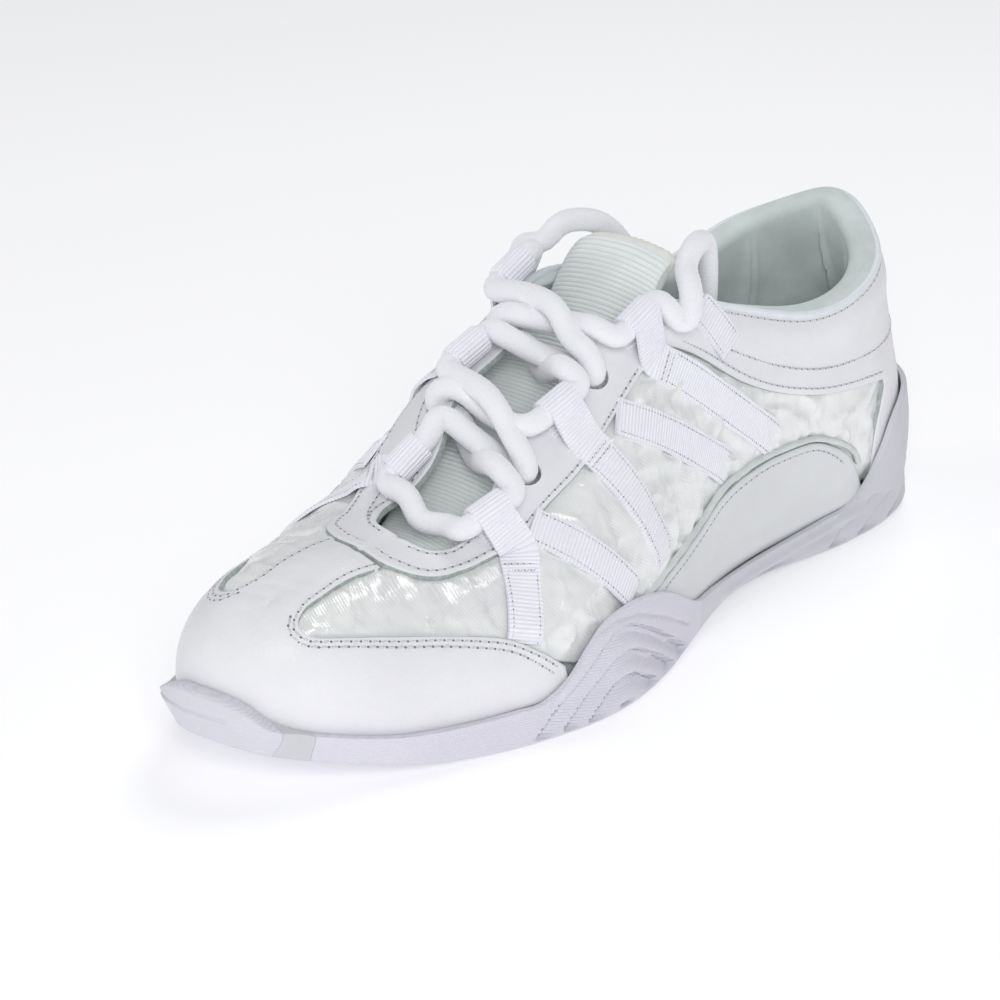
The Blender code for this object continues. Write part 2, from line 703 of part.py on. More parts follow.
def loop_frame(q, side):
    """Centre of a ribbon loop with its directions: into the throat, off the surface, along."""
    own, _, into, _ = edge(q, side)
    up = normals([own], [edge_rib(q, side) - LOOP_OUT / rib_scale(own)])[0]
    into = into - up * into.dot(up)
    into = into / np.linalg.norm(into)
    return beside(q, side, LOOP_OUT, LOOP_UP), into, up, np.cross(into, up) * side


def loop_turn(q, side):
    """Straight through a ribbon loop, along the throat."""
    centre, _, _, axis = loop_frame(q, side)
    return [centre + axis * LOOP_HALF * step for step in (-1.0, -0.55, 0.0, 0.55, 1.0)]


def half_lace(side, high):
    """Half the lace, from the bar at the bottom of the throat to its end inside the shoe."""
    over = 0.9 if high else -5.7
    lift = 7.6 if high else 1.0
    path = loop_turn(LOOPS[0], side)
    path += [beside(5.1, side, -0.6, 4.9), middle(5.18, over)]
    path += hole_turn(HOLES[0], -side, 0.1)
    path += [middle(5.42, lift), beside(5.45, side, -0.8, 4.8)]
    path += loop_turn(LOOPS[1], side)
    path += [beside(5.98, side, -0.4, 5.6), middle(6.05, over)]
    path += hole_turn(HOLES[1], -side, 0.08)
    path += [middle(6.34, lift), beside(6.37, side, -0.8, 5.0)]
    path += loop_turn(LOOPS[2], side)
    pick = 0 if side > 0 else 1
    own = TOP_Q[pick] if side > 0 else TURN - TOP_Q[pick]
    top = last([own], [TOP_V])[0]
    out = normals([own], [TOP_V])[0]
    lag = TUCK_LAG[pick]
    path += [top + out * 4.8 + np.array([0, 0, 1.0]),
             top + out * 5.0 + np.array([0, 2.0 + lag / 4, 8.0])]
    path += [np.array([side * x, y + lag * min(1.0, (41 - y) / 15), z]) for x, y, z in TUCK]
    return path


def lace_path():
    one = half_lace(1, False)
    other = half_lace(-1, True)
    bar = [beside(4.33, 1, -4.0, 2.6), middle(4.2, 1.6), beside(4.33, -1, -4.0, 4.4)]
    return smooth_path(list(reversed(one)) + bar + other)


def strip(name, centre, across, width, thick, mat):
    """Flat ribbon: centre points and across directions, thickened away from the shoe."""
    verts = []
    faces = []
    for place, side in zip(centre, across):
        for w in (-0.5, 0, 0.5):
            verts.append(tuple(place + side * width * w))
    for i in range(len(centre) - 1):
        for k in range(2):
            a = i * 3 + k
            faces.append((a, a + 1, a + 4, a + 3))
    item = new_object(name, verts, faces, mat)
    layer = item.modifiers.new("thickness", "SOLIDIFY")
    layer.thickness = thick * MM
    layer.offset = 0
    return item


def on_skin(marks, depth, step=4.0):
    """Points and outward normals along a straight (q, v) run."""
    start, end = (np.array(m, float) for m in marks)
    span = np.linalg.norm(last([end[0]], [end[1]])[0] - last([start[0]], [start[1]])[0])
    count = max(3, int(round(span / step)))
    t = np.linspace(0, 1, count + 1)[:, None]
    line = start * (1 - t) + end * t
    return skin(line[:, 0], line[:, 1], depth), normals(line[:, 0], line[:, 1])


def cross_directions(points, ups):
    points = np.array(points)
    along = np.gradient(points, axis=0)
    side = np.cross(along, np.array(ups))
    return side / np.linalg.norm(side, axis=1)[:, None]


def ribbon(name, side, low, top_q, mat):
    """Ribbon from a seam up over the eyestay, looped round the lace."""
    middle_depth = RIBBON[0] + RIBBON[1] / 2
    sign = 1 if side > 0 else -1
    own = top_q if side > 0 else TURN - top_q
    top_v = edge_rib(top_q, side) - LOOP_RISE / rib_scale(own)
    points, ups = on_skin([(sign * low[0], low[1]), (sign * top_q, top_v)], middle_depth)
    points = list(points)
    ups = list(ups)
    centre, into, up, _ = loop_frame(top_q, side)
    radius = LACE_D / 2 + LOOP_GAP + RIBBON[1] / 2
    for degree in (152, 128, 104, 80, 54, 28, 0, -28, -56, -80):
        turn = math.radians(degree)
        way = into * math.cos(turn) + up * math.sin(turn)
        points.append(centre + way * radius)
        ups.append(way)
    first = cross_directions(points, ups)
    for i in range(1, len(first)):
        if first[i].dot(first[i - 1]) < 0:
            first[i] = -first[i]
    return strip(name, points, first, RIBBON_W, RIBBON[1], mat)


def support(name, side, start, end, mat):
    """Flat ribbon lying on the satin between two seams."""
    sign = 1 if side > 0 else -1
    points, ups = on_skin([(sign * start[0], start[1]), (sign * end[0], end[1])],
                          RIBBON[0] + RIBBON[1] / 2)
    return strip(name, points, cross_directions(points, ups), RIBBON_W, RIBBON[1], mat)


RIBBONS = [("ribbon_front", (4.17, 0.37), LOOPS[0]), ("ribbon_middle", (6.0, 0.25), LOOPS[1]),
           ("ribbon_rear", (7.62, 0.45), LOOPS[2])]
SUPPORTS = [("ribbon_support_front", (5.03, 0.70), (5.44, 0.27)),
            ("ribbon_support_rear", (6.1, 0.76), (7.14, 0.37)),
            ("ribbon_tab", (7.36, 0.84), (7.22, 0.965))]


def tongue_rows():
    """Cross-sections of the tongue, from its sewn base up to the free top edge."""
    rows = []
    for q, spare in TONGUE_ROWS:
        _, near, _, up = edge(q, 1, True)
        far = edge(q, -1, True)[1]
        centre = (near + far) / 2
        across = (near - far) / np.linalg.norm(near - far)
        half = np.linalg.norm(near - far) / 2 + spare
        rows.append([centre + across * half * k + up * (TONGUE_DEPTH - 2.5 * k * k)
                     for k in TONGUE_COLUMNS])
    for shift in TONGUE_TOP:
        centre = np.mean(rows[7], axis=0)
        rows.append([centre + (p - centre) * shift[2] + np.array([0, shift[0], shift[1]])
                     for p in rows[7]])
    return rows


# Station and how far each side runs past the throat edge; then the free top: back, up, width.
TONGUE_ROWS = [(4.05, 3.5), (4.4, 3.5), (4.8, 3.5), (5.2, 3.5), (5.6, 3.0), (6.0, 2.0),
               (6.4, 0.0), (6.8, -2.5)]
TONGUE_TOP = [(4.0, 6.5, 0.98), (7.5, 12.0, 0.95), (11.0, 15.5, 0.92), (14.5, 16.5, 0.88)]
TONGUE_COLUMNS = (-1.0, -0.67, -0.33, 0.0, 0.33, 0.67, 1.0)
TONGUE_DEPTH = -8.6


def tongue_layer(name, depth, thick, mat, first=0, last_row=None, width=1.0):
    rows = tongue_rows()[first:last_row]
    grid = np.array(rows)
    centre = grid.mean(axis=1, keepdims=True)
    grid = centre + (grid - centre) * width
    along = np.gradient(grid, axis=0)
    across = np.gradient(grid, axis=1)
    up = np.cross(across, along)
    up = up / np.linalg.norm(up, axis=2, keepdims=True)
    up = up * np.sign(up[:, :, 2:3].mean())
    grid = grid + up * depth
    count, wide = grid.shape[:2]
    verts = [tuple(p) for p in grid.reshape(-1, 3)]
    faces = []
    for i in range(count - 1):
        for k in range(wide - 1):
            a = i * wide + k
            faces.append((a, a + 1, a + wide + 1, a + wide))
    item = new_object(name, verts, faces, mat)
    if sum((f.normal.z for f in item.data.polygons)) < 0:
        item.data.flip_normals()
    layer = item.modifiers.new("thickness", "SOLIDIFY")
    layer.thickness = thick * MM
    layer.offset = -1
    return item


def collar_roll(mat):
    q = np.arange(7.6, 14.41, 0.2)
    points = skin(q, np.full(len(q), 0.955), -4.4)
    return tube("collar_roll", points, 3.1, mat, sides=2)


def hole_cutters(item):
    for side in (1, -1):
        for i, q in enumerate(HOLES):
            own = edge(q, side)[0]
            v = edge_rib(q, side) - HOLE_OUT / rib_scale(own)
            place = last([own], [v])[0]
            normal = normals([own], [v])[0]
            bm = bmesh.new()
            bmesh.ops.create_cone(bm, cap_ends=True, segments=20, radius1=HOLE_R * MM,
                                  radius2=HOLE_R * MM, depth=8 * MM)
            mesh = bpy.data.meshes.new("hole")
            bm.to_mesh(mesh)
            bm.free()
            where = "medial" if side > 0 else "lateral"
            cutter = bpy.data.objects.new("cutter_hole_%s_%d" % (where, i + 1), mesh)
            cutter.location = Vector(place) * MM
            cutter.rotation_mode = "QUATERNION"
            cutter.rotation_quaternion = Vector(normal).to_track_quat("Z", "Y")
            CUTTERS.objects.link(cutter)
            cutter.hide_render = True
            cutter.display_type = "WIRE"
            cut(item, cutter, "DIFFERENCE")


def build_upper(mats):
    leather = mats["leather"]
    panel("vamp_lining", [VAMP_LINING], LINING, mats["lining"])
    for side, suffix in ((1, "_medial"), (-1, "_lateral")):
        for name, runs, layer, mat in (("quarter_lining", QUARTER_LINING, LINING, "lining"),
                                       ("ankle_lining", ANKLE_LINING, LINING, "lining"),
                                       ("satin_panel", SATIN_PANEL, SATIN, "satin"),
                                       ("arch_panel", ARCH, LEATHER, "leather")):
            own_runs = runs if side > 0 else mirrored(runs)
            panel(name + suffix, [own_runs], layer, mats[mat])
        line = flow(PIPING, 4.0) + [PIPING[-1]]
        q = np.array([p[0] for p in line]) * side
        v = np.array([p[1] for p in line])
        tube("arch_piping" + suffix, skin(q, v, 0.3), 0.9, mats["piping"], sides=1)
    panel("heel_lining", [HEEL_LINING], LINING, mats["lining"])
    panel("toe_puff", [TOE_PUFF], SATIN, mats["board"])
    panel("heel_counter", [COUNTER], SATIN, mats["board"])
    panel("toe_leather", [TOE_LEATHER], LEATHER, leather)
    stay = panel("eyestay", EYESTAY, LEATHER, leather)
    hole_cutters(stay)
    panel("collar_leather", [COLLAR], LEATHER, leather)
    collar_roll(mats["lining"])


def build_ribbons(mat):
    for side, suffix in ((1, "_medial"), (-1, "_lateral")):
        for name, low, top_q in RIBBONS:
            ribbon(name + suffix, side, low, top_q, mat)
        for name, start, end in SUPPORTS:
            support(name + suffix, side, start, end, mat)


def build_tongue(mats):
    tongue_layer("tongue_pad", 0.0, 3.6, mats["lining"])
    tongue_layer("tongue_knit", 1.9, 1.0, mats["knit"], width=0.97)
    brow = np.array(tongue_rows()[-1])
    ahead = np.array([0, 1.9, 0.0])
    tube("tongue_binding", [p + ahead + np.array([0, 0, -0.6]) for p in brow], 1.4, mats["binding"], sides=1)


def build_lace(mats):
    path = lace_path()
    tube("lace", path, LACE_D / 2, mats["lace"], sides=2)
    ends = ((path[0], path[1], "aglet_medial"), (path[-1], path[-2], "aglet_lateral"))
    for end, before, name in ends:
        way = (end - before) / np.linalg.norm(end - before)
        tube(name, [end + way * 0.4, end + way * 12.4], 1.7, mats["aglet"], sides=2)


clean_scene()
PARTS = group(NAME)
CUTTERS = group("cutters")
MATS = {
    "rubber": material("rubber", (0.80, 0.79, 0.84), 0.55),
    "plain_rubber": material("plain_rubber", (0.72, 0.72, 0.75), 0.6),
    "shank": material("shank", (0.78, 0.78, 0.80), 0.5),
    "foam": material("foam", (0.85, 0.85, 0.84), 0.8),
    "board": material("board", (0.62, 0.56, 0.46), 0.9),
    "lining": material("lining", (0.70, 0.74, 0.72), 0.9),
    "sockliner": material("sockliner", (0.72, 0.76, 0.74), 0.9),
    "satin": material("satin", (0.84, 0.86, 0.82), 0.35, sheen=0.5),
    "leather": material("leather", (0.86, 0.85, 0.87), 0.45),
    "piping": material("piping", (0.74, 0.76, 0.75), 0.5),
    "ribbon": material("ribbon", (0.83, 0.83, 0.90), 0.7),
    "knit": material("knit", (0.66, 0.71, 0.69), 0.85),
    "binding": material("binding", (0.86, 0.86, 0.80), 0.8),
    "lace": material("lace", (0.90, 0.90, 0.92), 0.8),
    "aglet": material("aglet", (0.88, 0.88, 0.88), 0.3),
}
build_sole(MATS["rubber"], MATS["plain_rubber"], MATS["shank"])
build_insoles(MATS["foam"], MATS["board"], MATS["sockliner"])
build_upper(MATS)
build_ribbons(MATS["ribbon"])
build_tongue(MATS)
build_lace(MATS)
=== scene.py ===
"""Looks of a white low-cut cheer shoe, right foot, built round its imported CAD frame.

Millimetres inside the functions and metres in Blender; toe towards -Y, inner (medial) side +X.
A place on the upper is (q, v): q counts the stations round the shoe from the toe, negative on
the outer (lateral) side, and v runs from 0 at the sole to 1 at the top line.
"""
import math

import bmesh
import bpy
import numpy as np
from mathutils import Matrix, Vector
from mathutils.geometry import delaunay_2d_cdt


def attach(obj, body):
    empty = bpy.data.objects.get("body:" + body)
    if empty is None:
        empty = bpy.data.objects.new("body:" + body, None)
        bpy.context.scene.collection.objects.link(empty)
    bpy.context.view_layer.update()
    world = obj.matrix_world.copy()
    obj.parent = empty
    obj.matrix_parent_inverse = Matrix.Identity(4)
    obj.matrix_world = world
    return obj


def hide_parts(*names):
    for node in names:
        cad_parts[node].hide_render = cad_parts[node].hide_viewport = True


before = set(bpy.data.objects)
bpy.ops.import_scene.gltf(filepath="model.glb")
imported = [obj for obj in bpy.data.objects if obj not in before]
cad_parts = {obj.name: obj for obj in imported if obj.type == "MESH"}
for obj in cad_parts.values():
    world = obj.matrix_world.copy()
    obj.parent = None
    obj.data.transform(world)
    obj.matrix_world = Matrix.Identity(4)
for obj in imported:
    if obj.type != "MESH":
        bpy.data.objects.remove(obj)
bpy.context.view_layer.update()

MM = 0.001
SHOE = "shoe"
SIDES = ((1, "_medial"), (-1, "_lateral"))
TONGUE = "tongue"


# Feather line point, top line point, rib handle at the foot (length, degrees outward),
# rib handle at the top (length, degrees down), ground line (outward, height). Millimetres.
STATIONS = [
    ((3, -122.5, 19), (8, -108, 40.5), (10, 8), (10, 10), (2.2, 12)),
    ((13.5, -118.5, 17), (8, -106, 41.2), (12, 8), (12, 10), (1.8, 10)),
    ((22, -109, 13.5), (8, -99, 42.8), (15, 8), (16, 10), (1, 7)),
    ((31, -90, 9), (7.5, -84, 44.5), (18, 8), (20, 11), (2, 2.5)),
    ((39, -63, 8), (8, -61, 43), (21, 8), (20, 12), (3.5, 0)),
    ((43.5, -37, 8), (15.5, -44, 50), (24, 4), (16, 25), (3.5, 0)),
    ((38, -5, 8), (17, -14, 66), (28, -2), (18, 35), (2.5, 1)),
    ((29, 27, 9), (17, 16, 80), (28, -6), (20, 50), (1.5, 3.5)),
    ((25, 65, 8.5), (26, 62, 68), (20, 4), (16, 84), (2, 1)),
    ((24, 96, 9), (25.5, 91, 72.5), (20, 8), (16, 82), (2.5, 0)),
    ((16, 118, 10), (13.5, 105, 79), (22, 8), (18, 82), (3, 2.5)),
    ((0.5, 124, 11), (-1, 111.5, 83), (24, 8), (18, 84), (3, 4)),
    ((-15, 117.5, 10), (-13.5, 105, 79.5), (22, 8), (18, 84), (3, 2.5)),
    ((-25, 96, 9), (-23, 91, 74), (20, 8), (16, 84), (2.5, 0)),
    ((-29, 65, 8.5), (-24, 61, 69), (20, 8), (16, 80), (2, 1)),
    ((-33, 27, 9), (-18, 15, 81), (27, 6), (20, 48), (2, 2)),
    ((-39, -5, 8), (-18, -14, 69), (26, 8), (18, 30), (3, 0.5)),
    ((-42.5, -38, 8), (-9, -42, 55), (27, 8), (17, 21), (3.5, 0)),
    ((-39, -63, 8), (8, -61, 43), (26, 8), (24, -12), (3.5, 0)),
    ((-30, -86, 9), (7.5, -84, 44.5), (21, 8), (22, -11), (2, 2)),
    ((-20.5, -107, 14), (8, -99, 42.8), (18, 8), (18, -6), (1, 6)),
    ((-9, -119, 17.5), (8, -106, 41.2), (13, 8), (14, 4), (1.8, 10)),
]
TURN = len(STATIONS)
HEEL = TURN // 2
THROAT = 4

# Height of the rubber's top edge above the ground, by station; the same on both sides.
RUBBER_TOP = [(0, 24.4), (0.5, 23.6), (0.9, 21.6), (1.2, 18.6), (1.45, 17.0), (2, 14.6),
              (3, 10.4), (4, 9), (4.25, 9.1), (4.5, 12.5),
              (4.75, 18), (5.04, 22.4), (5.3, 23.6), (5.6, 22.6), (5.9, 19.4), (6.17, 14.4),
              (6.4, 10.8), (6.65, 10.2), (8.2, 10.2), (8.6, 11.6), (8.8, 15.5), (9.0, 23),
              (9.2, 29), (9.5, 33), (10, 35.3), (11, 36)]

# Layer depths from the last surface and thicknesses, millimetres.
LINING = (-4.7, 1.8)
SATIN = (-2.0, 0.8)
LEATHER = (-0.6, 1.1)
RUBBER_IN = 1.05
RUBBER_OUT = 2.5
BUMPER_BULGE = 2.0
BUMPER_END = (1.25, 1.75)

RIB_LENGTH = 58.0
LACE_D = 5.6
RIBBON_W = 9.0
RIBBON_T = 0.55
UV_ROUND = 18.0                 # texture length once round a cord
TWILL = (0.53, 0.45, 0.72)      # direction across the satin's weave lines
RIB_PITCH = 0.95                # cross ribs of the ribbons
KNIT_PITCH = 1.15               # cross ribs of the tongue
ROLL_R = 3.4                    # padded collar
STAY_RAISED = 0.15              # extra thickness of the eyestay
SEAM_IN = 1.9                   # stitch groove, in from a panel's edge
CREASE_FREE = 0.8               # width beside an edge that stays flat


def spline(values, knots, period):
    """Closed cubic spline through the station values."""
    count = len(knots)
    gap = np.diff(np.append(knots, period))
    value = np.asarray(values, float)
    matrix = np.zeros((count, count))
    right = np.zeros_like(value)
    for i in range(count):
        j = (i + 1) % count
        matrix[i, i - 1] += gap[i - 1]
        matrix[i, i] += 2 * (gap[i - 1] + gap[i])
        matrix[i, j] += gap[i]
        right[i] = 6 * ((value[j] - value[i]) / gap[i] - (value[i] - value[i - 1]) / gap[i - 1])
    bend = np.linalg.solve(matrix, right)

    def at(x):
        x = np.mod(x, period)
        i = np.clip(np.searchsorted(knots, x, side="right") - 1, 0, count - 1)
        j = (i + 1) % count
        b = (x - knots[i])[:, None]
        h = gap[i][:, None]
        a = h - b
        return ((bend[i] * a ** 3 + bend[j] * b ** 3) / (6 * h)
                + (value[i] / h - bend[i] * h / 6) * a + (value[j] / h - bend[j] * h / 6) * b)
    return at


# Puts the middle of the shoe's bounding box over the origin.
CENTRE = np.array([0.5, 0.0, 0.0])
FEET = np.array([s[0] for s in STATIONS], float) - CENTRE
TOPS = np.array([s[1] for s in STATIONS], float) - CENTRE
SHAPES = np.array([s[2] + s[3] + s[4] for s in STATIONS], float)
SPANS = np.linalg.norm(np.roll(FEET, -1, 0)[:, :2] - FEET[:, :2], axis=1)
KNOTS = np.concatenate([[0], np.cumsum(SPANS)[:-1]])
AROUND = SPANS.sum()
FOOT_AT = spline(FEET, KNOTS, AROUND)
TOP_AT = spline(TOPS, KNOTS, AROUND)
SHAPE_AT = spline(SHAPES, KNOTS, AROUND)


def unit(v):
    """The same direction, or directions, one millimetre long."""
    if v.ndim == 1:
        return v / np.linalg.norm(v)
    return v / np.linalg.norm(v, axis=-1, keepdims=True)


def travelled(points):
    """Distance along a run at each of its points."""
    return np.concatenate([[0], np.cumsum(np.linalg.norm(np.diff(points, axis=0), axis=1))])


def relaxed(run, rounds):
    """A run with its inner points drawn towards their neighbours."""
    for _ in range(rounds):
        run[1:-1] = run[1:-1] * 0.5 + (run[:-2] + run[2:]) * 0.25
    return run


def from_toe(q):
    """Stations from the toe, counted the same way on both sides."""
    return np.minimum(np.mod(q, TURN), TURN - np.mod(q, TURN))


def arc(q):
    """Millimetres round the feather line at station number q."""
    q = np.atleast_1d(np.asarray(q, float))
    laps = np.floor(q / TURN)
    part = q - laps * TURN
    i = np.minimum(part.astype(int), TURN - 1)
    return KNOTS[i] + (part - i) * SPANS[i] + laps * AROUND


def outward(q):
    """Level outward direction of the feather line."""
    x = arc(q)
    along = FOOT_AT(x + 0.2) - FOOT_AT(x - 0.2)
    side = np.stack([along[:, 1], -along[:, 0], 0 * along[:, 0]], -1)
    return unit(side)


def top_line(q):
    """Top line; over the toes the two sides share one ridge."""
    q = np.mod(np.atleast_1d(np.asarray(q, float)), TURN)
    own = TOP_AT(arc(q))
    other = TOP_AT(arc(np.mod(-q, TURN)))
    shared = (np.minimum(q, TURN - q) <= THROAT)[:, None]
    return np.where(shared, (own + other) / 2, own)


def last(q, v):
    """Point of the last surface."""
    q = np.atleast_1d(np.asarray(q, float))
    v = np.broadcast_to(np.asarray(v, float), q.shape)[:, None]
    x = arc(q)
    foot = FOOT_AT(x)
    top = top_line(q)
    shape = SHAPE_AT(x)
    side = outward(q)
    up = np.array([0, 0, 1.0])
    lean = np.radians(shape[:, 1:2])
    drop = np.radians(shape[:, 3:4])
    low = foot + shape[:, 0:1] * (side * np.sin(lean) + up * np.cos(lean))
    high = top + shape[:, 2:3] * (side * np.cos(drop) - up * np.sin(drop))
    w = 1 - v
    return foot * w ** 3 + 3 * low * v * w ** 2 + 3 * high * v ** 2 * w + top * v ** 3


def one_normal(q, v):
    step = 0.01
    around = last(q + step, v) - last(q - step, v)
    upward = last(q, v + step) - last(q, v - step)
    normal = np.cross(around, upward)
    return unit(normal)


def normals(q, v):
    """Outward normal; on the shared ridge it is the mean of the two sides."""
    q = np.atleast_1d(np.asarray(q, float))
    v = np.broadcast_to(np.asarray(v, float), q.shape)
    near_toe = np.abs(np.mod(q + HEEL, TURN) - HEEL) <= THROAT + 0.01
    safe = np.where(near_toe, np.minimum(v, 0.96), v)
    own = one_normal(q, safe)
    mean = own + one_normal(-q, safe)
    mean = unit(mean)
    ridge = (near_toe & (v > 0.995))[:, None]
    return np.where(ridge, mean, own)


def skin(q, v, depth):
    """Last surface moved out by depth millimetres."""
    return last(q, v) + normals(q, v) * np.broadcast_to(depth, np.shape(np.atleast_1d(q)))[:, None]


def ground_line(q):
    """Height of the sole's underside; it never dips below the floor."""
    return np.maximum(SHAPE_AT(arc(q))[:, 5], 0.0)


def rubber_height(q):
    """Height of the rubber's top edge, eased between its stations."""
    q = np.mod(np.atleast_1d(np.asarray(q, float)), TURN)
    q = np.minimum(q, TURN - q)
    knots = np.array(RUBBER_TOP, float)
    i = np.clip(np.searchsorted(knots[:, 0], q, side="right") - 1, 0, len(knots) - 2)
    t = (q - knots[i, 0]) / (knots[i + 1, 0] - knots[i, 0])
    slope = np.gradient(knots[:, 1], knots[:, 0])
    h = knots[i + 1, 0] - knots[i, 0]
    return ((2 * t ** 3 - 3 * t ** 2 + 1) * knots[i, 1] + (t ** 3 - 2 * t ** 2 + t) * h * slope[i]
            + (3 * t ** 2 - 2 * t ** 3) * knots[i + 1, 1] + (t ** 3 - t ** 2) * h * slope[i + 1])


def rib_at_height(q, height):
    """The v at which each rib passes a height."""
    low = np.zeros(len(q))
    high = np.full(len(q), 0.9)
    for _ in range(30):
        mid = (low + high) / 2
        under = last(q, mid)[:, 2] < height
        low = np.where(under, mid, low)
        high = np.where(under, high, mid)
    return (low + high) / 2


def station(x):
    """Station number at x millimetres round the feather line."""
    x = np.asarray(x, float)
    laps = np.floor(x / AROUND)
    part = x - laps * AROUND
    i = np.clip(np.searchsorted(KNOTS, part, side="right") - 1, 0, TURN - 1)
    return i + (part - KNOTS[i]) / SPANS[i] + laps * TURN


def mirrored(runs):
    """The same outline on the lateral side."""
    return [[(-q, v) for q, v in reversed(run)] for run in reversed(runs)]


# ---- outlines, as corner-to-corner runs of (station, rib fraction)

TOE_SIDE = [
    [(4.6, 0), (4.55, 0.12)],
    [(4.55, 0.12), (4.3, 0.23), (4.0, 0.34), (3.5, 0.44), (3.0, 0.50), (2.4, 0.55),
     (1.95, 0.60), (1.72, 0.70), (1.95, 0.79), (2.4, 0.83), (2.8, 0.85), (3.26, 0.86)],
    [(3.26, 0.86), (3.15, 1)],
]
TOE_LEATHER = [[(-4.6, 0), (4.6, 0)]] + TOE_SIDE + [[(3.15, 1), (-3.15, 1)]] + mirrored(TOE_SIDE)
# Throat edge of the eyestay on the medial and lateral side, from the toe up. A rib fraction
# over 1 carries the eyestay past the top line, in over the tongue.
MEDIAL_EDGE = [(3.75, 1), (3.9, 0.88), (4.15, 0.84), (4.5, 0.87), (4.88, 0.955), (5.2, 1.05),
               (5.74, 1.09), (6.1, 1.09), (6.38, 1.06), (6.62, 1.04)]
LATERAL_EDGE = [(3.75, 1), (3.9, 0.88), (4.15, 0.86), (4.4, 0.93), (4.6, 1.01), (5.0, 1.18),
                (5.4, 1.26), (6.0, 1.27), (6.3, 1.22), (6.62, 1.12)]
TONGUE_EDGE = [(3.75, 1.0), (3.9, 0.88), (4.15, 0.84), (4.5, 0.87), (4.85, 0.93), (5.2, 0.98),
               (5.7, 0.992), (8.0, 0.992)]
EYESTAY_OUTER = [
    [(3.2, 1), (3.31, 0.88), (3.6, 0.76), (4.0, 0.71), (4.4, 0.71), (4.8, 0.71), (5.2, 0.76),
     (5.6, 0.775), (6.0, 0.81), (6.5, 0.83)],
    [(6.5, 0.83), (6.62, 0.84)],
]


def eyestay_outline(throat_edge):
    top = throat_edge[-1]
    return EYESTAY_OUTER + [[(6.62, 0.84), top], list(reversed(throat_edge)),
                            [throat_edge[0], (3.2, 1)]]


EYESTAY = [eyestay_outline(MEDIAL_EDGE), mirrored(eyestay_outline(LATERAL_EDGE))]
COLLAR = [
    [(6.72, 0.985), (8, 0.98), (9.5, 0.98), (11, 0.98), (12.5, 0.98), (14, 0.98), (15.28, 0.985)],
    [(15.28, 0.985), (15.28, 0.86)],
    [(15.28, 0.86), (15.0, 0.78), (14.58, 0.66), (14.0, 0.60), (13.5, 0.55), (12.85, 0.47)],
    [(12.85, 0.47), (13.05, 0.30), (13.1, 0.04)],
    [(13.1, 0.04), (12, 0.03), (11, 0.03), (10, 0.03), (8.9, 0.04)],
    [(8.9, 0.04), (8.95, 0.30), (9.15, 0.47)],
    [(9.15, 0.47), (8.5, 0.55), (8.0, 0.60), (7.42, 0.66), (7.0, 0.78), (6.72, 0.86)],
    [(6.72, 0.86), (6.72, 0.985)],
]
ARCH = [
    [(5.45, 0.0), (5.6, 0.165)],
    [(5.6, 0.165), (5.96, 0.18), (6.4, 0.185), (6.8, 0.21), (7.3, 0.29), (7.7, 0.36),
     (8.05, 0.385), (8.35, 0.33), (8.6, 0.24), (8.78, 0.1), (8.82, 0.0)],
    [(8.82, 0.0), (7.5, 0.0), (6.5, 0.0), (5.45, 0.0)],
]
PIPING = [(5.62, 0.205), (5.96, 0.218), (6.4, 0.222), (6.8, 0.248), (7.27, 0.33), (7.7, 0.40),
          (8.05, 0.425), (8.37, 0.37), (8.62, 0.29), (8.72, 0.22)]
SATIN_PANEL = [
    [(1.6, 0.70), (1.85, 0.56), (2.4, 0.50), (3.0, 0.45), (3.5, 0.39), (4.0, 0.29),
     (4.3, 0.18), (4.7, 0.10)],
    [(4.7, 0.10), (5.6, 0.10), (6.4, 0.14), (6.8, 0.17), (7.3, 0.25), (7.7, 0.32),
     (8.05, 0.345), (8.35, 0.29), (8.6, 0.20), (8.75, 0.06)],
    [(8.75, 0.06), (9.05, 0.10)],
    [(9.05, 0.10), (9.12, 0.30), (9.25, 0.52)],
    [(9.25, 0.52), (8.5, 0.60), (8.0, 0.65), (7.46, 0.71), (7.05, 0.82), (6.7, 0.90)],
    [(6.7, 0.90), (6.5, 0.86), (6.2, 0.83), (6.0, 0.825), (5.6, 0.795), (5.2, 0.78),
     (4.8, 0.75), (4.4, 0.75), (4.0, 0.75), (3.65, 0.79), (3.35, 0.92), (2.8, 0.90),
     (2.4, 0.88), (1.9, 0.83)],
    [(1.9, 0.83), (1.6, 0.70)],
]
VAMP_SIDE = [
    [(4.45, 0), (4.45, 0.78)],
    [(4.45, 0.78), (4.1, 0.78), (3.8, 0.84), (3.6, 1)],
]
VAMP_LINING = [[(-4.45, 0), (4.45, 0)]] + VAMP_SIDE + [[(3.6, 1), (-3.6, 1)]] + mirrored(VAMP_SIDE)
QUARTER_LINING = [
    [(4.47, 0.0), (6.2, 0.0)],
    [(6.2, 0.0), (6.2, 0.82)],
    [(6.2, 0.82), (5.6, 0.81), (5.0, 0.79), (4.47, 0.78)],
    [(4.47, 0.78), (4.47, 0.0)],
]
ANKLE_LINING = [
    [(6.22, 0.0), (8.6, 0.0)],
    [(8.6, 0.0), (8.6, 0.86)],
    [(8.6, 0.86), (7.6, 0.86), (7.0, 0.86), (6.22, 0.82)],
    [(6.22, 0.82), (6.22, 0.0)],
]


# ---- throat frame, tongue, ribbons and lace

def edge_rib(q, side, tongue=False):
    """Rib fraction of the throat edge, or of the line the tongue hangs from."""
    table = np.array(TONGUE_EDGE if tongue else MEDIAL_EDGE if side > 0 else LATERAL_EDGE)
    return float(np.interp(q, table[:, 0], table[:, 1]))


